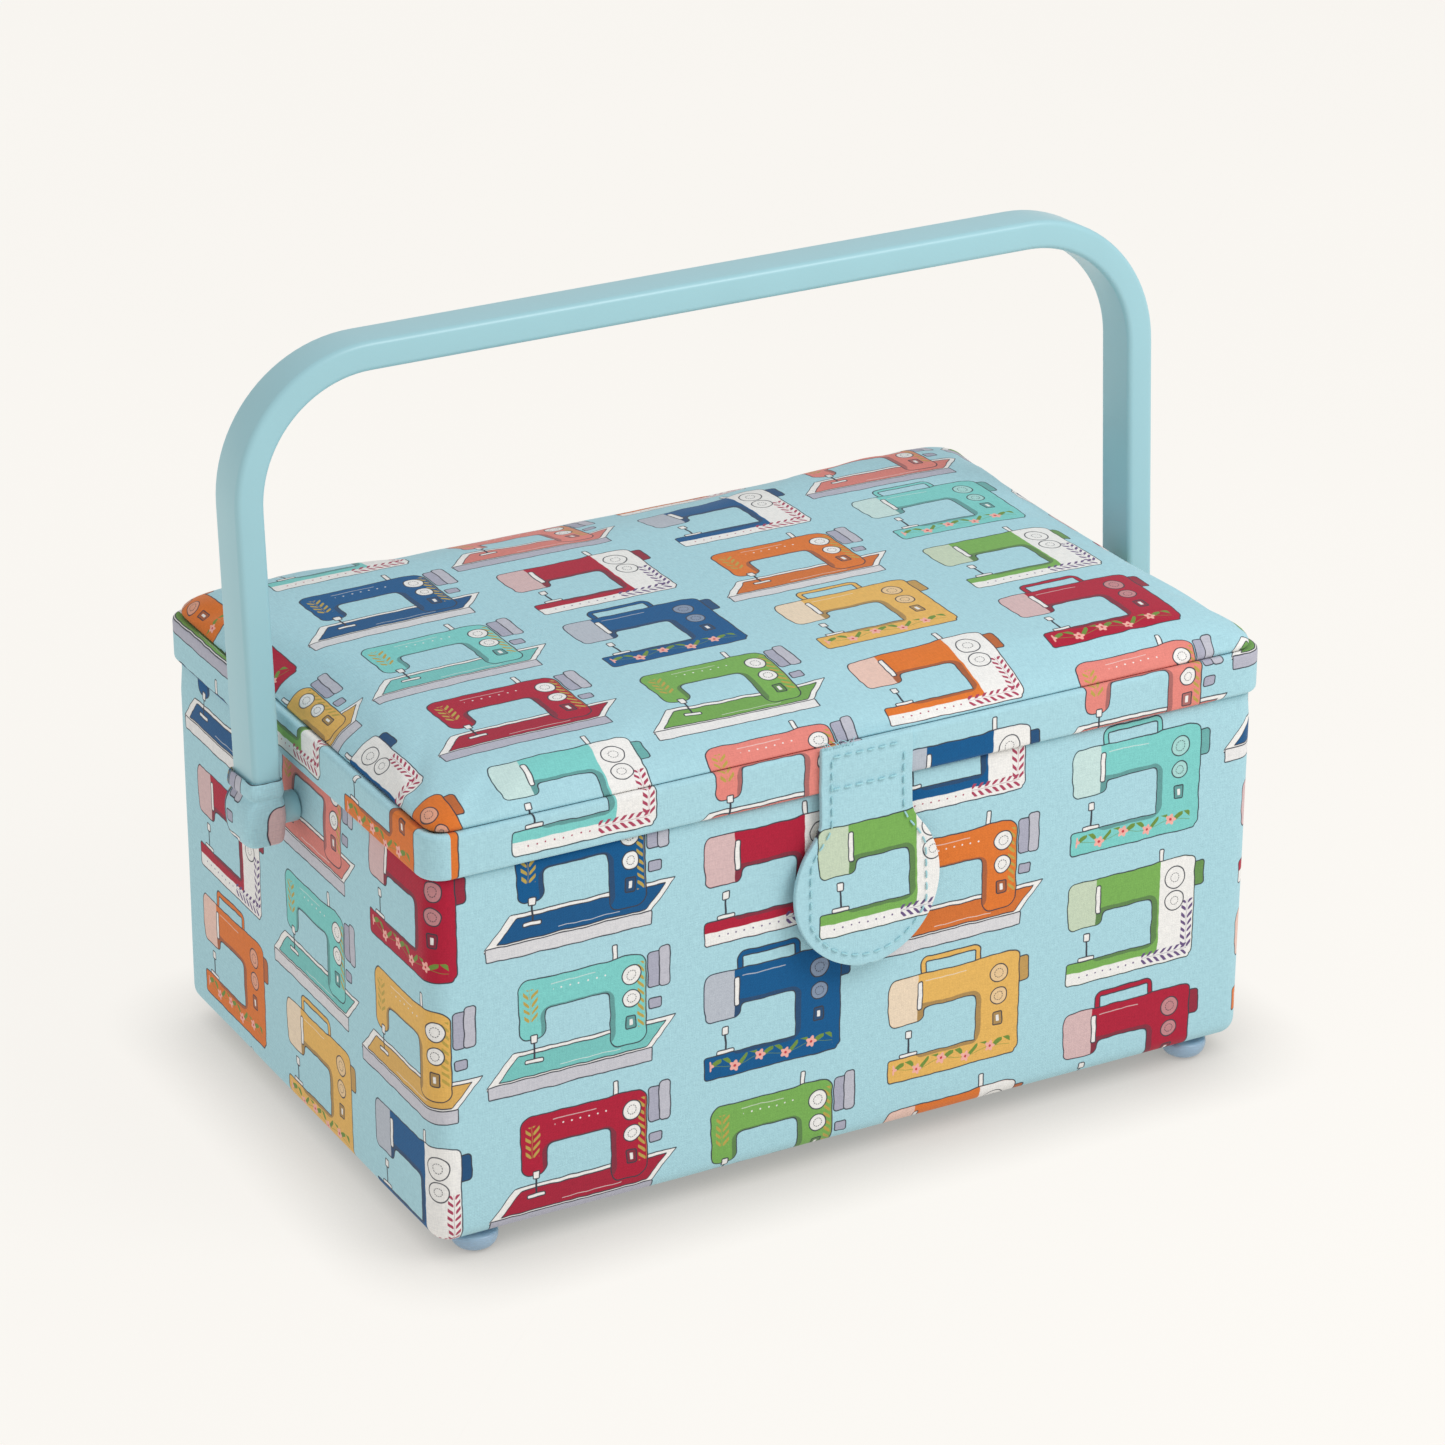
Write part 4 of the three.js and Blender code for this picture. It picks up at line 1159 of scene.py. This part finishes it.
def pocket_point(s, t):
    """A point of the pocket's cloth: s across from -1 to 1, t from its mouth (0) to its back (1)."""
    (cx, cy), (hw, hd) = POCKET["centre"], POCKET["half"]
    edge = min(1 - abs(s), (1 - t) * 1.6)
    full = sin(min(edge * 4.5, 1) * pi / 2) * (0.62 + 0.38 * (1 - t))
    gathers = 0.85 * sin(s * 46 + 1.8 * sin(s * 9)) * (1 - t) ** 1.6 * min(edge * 6, 1)
    depth = 0.7 + (POCKET["depth"] - 1.7) * full + gathers
    return (cx + s * hw, cy - hd + 4 + t * (2 * hd - 4), LID["inside"] - depth)


def make_pocket():
    rings = [[pocket_point(s, t) for s in np.linspace(1, -1, 161)] for t in np.linspace(0, 1, 25)]
    points, faces, corners = loft(rings, ring_closed=False)
    pocket = build("lid_pocket_cloth", points, faces, "lining", corners)
    print_by_position(pocket, lambda mm: mm[:, :2])
    thicken(pocket, 0.6)
    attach(pocket, "lid")
    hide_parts("lid_pocket")


def make_elastic():
    """Ribbed band sewn along the pocket's mouth, following its gathers."""
    rings = []
    for t in np.linspace(0.02, 0.1, 6):
        ring = [pocket_point(s, t) for s in np.linspace(0.93, -0.93, 121)]
        rings.append([(x, y, z - 0.55) for x, y, z in ring])
    points, faces, corners = loft(rings, ring_closed=False)
    band = build("pocket_elastic_band", points, faces, "elastic", corners)
    thicken(band, 0.5)
    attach(band, "lid")
    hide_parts("pocket_elastic")


def make_pincushion():
    """A round stuffed cushion sewn inside the lid."""
    (cx, cy), radius, depth = CUSHION["centre"], CUSHION["radius"], CUSHION["depth"]
    shape = [(0.02, 0.9), (0.2, 0.89), (0.4, 0.85), (0.6, 0.76), (0.76, 0.63), (0.88, 0.46), (0.95, 0.28)]
    shape += [(0.965, 0.12), (0.93, 0.02), (0.6, 0.0), (0.02, 0.0)]
    count = 64
    rings = []
    for share, height in shape:
        ring = []
        for a in [2 * pi * i / count for i in range(count)]:
            reach = radius * share * (1 - 0.015 * cos(a * 16) * share**4)
            ring.append((cx + reach * cos(a), cy + reach * sin(a), LID["inside"] - depth * height))
        rings.append(ring)
    points, faces, _ = loft(rings)
    faces += caps(len(points), count)
    cushion = build("pincushion_pad", points, faces, "print", merge=0.01)
    inflate(cushion, 2.5, 0.9, lambda mm: mm[:, 2] > LID["inside"] - 0.8)
    print_by_position(cushion, lambda mm: mm[:, :2] + (40, 30))
    subdivide(cushion)
    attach(cushion, "lid")
    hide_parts("pincushion")


# ---- CAD nodes that stay, with their finishes ----

KEPT = {
    "board": ("bottom_board", "wall_board", "lid_rim_frame", "lid_top_board"),
    "lining_cad": ("tray_ledge",),
    "tray": ("left_tray", "right_tray"),
    "hinge": ("hinge", "leaf_screw", "pivot_bolt", "pivot_cap"),
    "stud": ("snap_stud", "snap_socket"),
}
BEVEL = {"tray": 0.35, "hinge": 0.12, "stud": 0.12, "lining_cad": 0.5, "board": 0.2}


def finish_cad_nodes():
    for name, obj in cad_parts.items():
        if obj.hide_render:
            continue
        look = next(key for key, parts in KEPT.items() if any(part in name for part in parts))
        obj.data.materials.clear()
        obj.data.materials.append(MATERIAL[look])
        bevel = obj.modifiers.new("Edge", "BEVEL")
        bevel.width = BEVEL[look] * MM
        bevel.segments = 2
        bevel.limit_method = "ANGLE"
        bevel.angle_limit = radians(40)


# ---- Stage, light and camera ----


FLOOR_LIT, FLOOR_GLOW = 0.12, 0.9  # a glowing floor: most of its light is its own, and near the box the glow is darkened into a painted contact shadow
SURROUND = 0.66
KEY = {"place": (0.35, -0.6, 0.82), "target": (0, 0, 0.08), "size": 0.5, "power": 4.25}
AZIMUTH, ELEVATION, ROLL = -28.8, 24.49, 0.15
DISTANCE = 1.41396
TARGET = (0.0010, -0.00054, 0.09917)
LENS, SHIFT = 123.9, (0.00476, 0.00063)


def make_floor():
    mesh = bpy.data.meshes.new("floor")
    reach = 12
    corners = [(-reach, -reach, 0), (reach, -reach, 0), (reach, reach, 0), (-reach, reach, 0)]
    mesh.from_pydata(corners, [], [(0, 1, 2, 3)])
    material, n, shader = new_material("pale_floor")
    tone = n.mix(n.noise(n.object_place(), 3.0), linear("#F9F6F1"), linear("#FBF8F3"))
    # Ambient occlusion dims the floor's glow within 30 mm of the box: a painted contact shadow.
    painted_shadow_ao = n.add("ShaderNodeAmbientOcclusion", {"Distance": 0.03}, 1, samples=12)
    glow_with_painted_shadow = n.mul_add(painted_shadow_ao, FLOOR_GLOW * 0.66, FLOOR_GLOW * 0.34)
    lit = n.mix(1.0, tone, (FLOOR_LIT,) * 3 + (1,), "MULTIPLY")
    connect(n, shader, Base_Color=lit, Emission_Color=tone, Emission_Strength=glow_with_painted_shadow)
    connect(n, shader, Roughness=1.0, Specular_IOR_Level=0.0)
    mesh.materials.append(material)
    floor = bpy.data.objects.new("floor", mesh)
    bpy.context.scene.collection.objects.link(floor)


def make_light():
    """Even white surroundings, and a round lamp in front on the right."""
    world = bpy.data.worlds.new("studio")
    world.use_nodes = True
    background = world.node_tree.nodes["Background"]
    background.inputs["Color"].default_value = (1.0, 1.0, 1.0, 1)
    background.inputs["Strength"].default_value = SURROUND
    bpy.context.scene.world = world
    lamp = bpy.data.lights.new("key", "AREA")
    lamp.shape = "DISK"
    lamp.size = KEY["size"]
    lamp.energy = KEY["power"]
    light = bpy.data.objects.new("key", lamp)
    light.location = KEY["place"]
    aim = Vector(KEY["target"]) - Vector(KEY["place"])
    light.rotation_euler = aim.to_track_quat("-Z", "Y").to_euler()
    bpy.context.scene.collection.objects.link(light)
    bpy.context.scene.view_settings.view_transform = "Standard"


def make_camera():
    az, el, roll = (radians(a) for a in (AZIMUTH, ELEVATION, ROLL))
    back = Vector((sin(az) * cos(el), -cos(az) * cos(el), sin(el)))
    right = (-back).cross(Vector((0, 0, 1))).normalized()
    up = right.cross(-back)
    across = right * cos(roll) + up * sin(roll)
    upward = up * cos(roll) - right * sin(roll)
    data = bpy.data.cameras.new("camera")
    data.lens = LENS
    data.sensor_width = 36
    data.shift_x, data.shift_y = SHIFT
    data.clip_start, data.clip_end = 0.1, 50
    camera = bpy.data.objects.new("camera", data)
    axes = Matrix((across, upward, back)).transposed().to_4x4()
    camera.matrix_world = Matrix.Translation(Vector(TARGET) + back * DISTANCE) @ axes
    bpy.context.scene.collection.objects.link(camera)
    bpy.context.scene.camera = camera


make_camera()
make_floor()
make_light()
make_body_cover()
make_rim_cover()
make_lid_top()
make_base_cover()
make_handle()
make_boot("left", -1)
make_boot("right", 1)
make_spacer("left", -1)
make_spacer("right", 1)
make_tab()
make_tab_stitches()
make_frayed_threads()
make_feet()
make_wall_lining()
make_floor_pad()
make_lid_lining()
make_pocket()
make_elastic()
make_pincushion()
finish_cad_nodes()
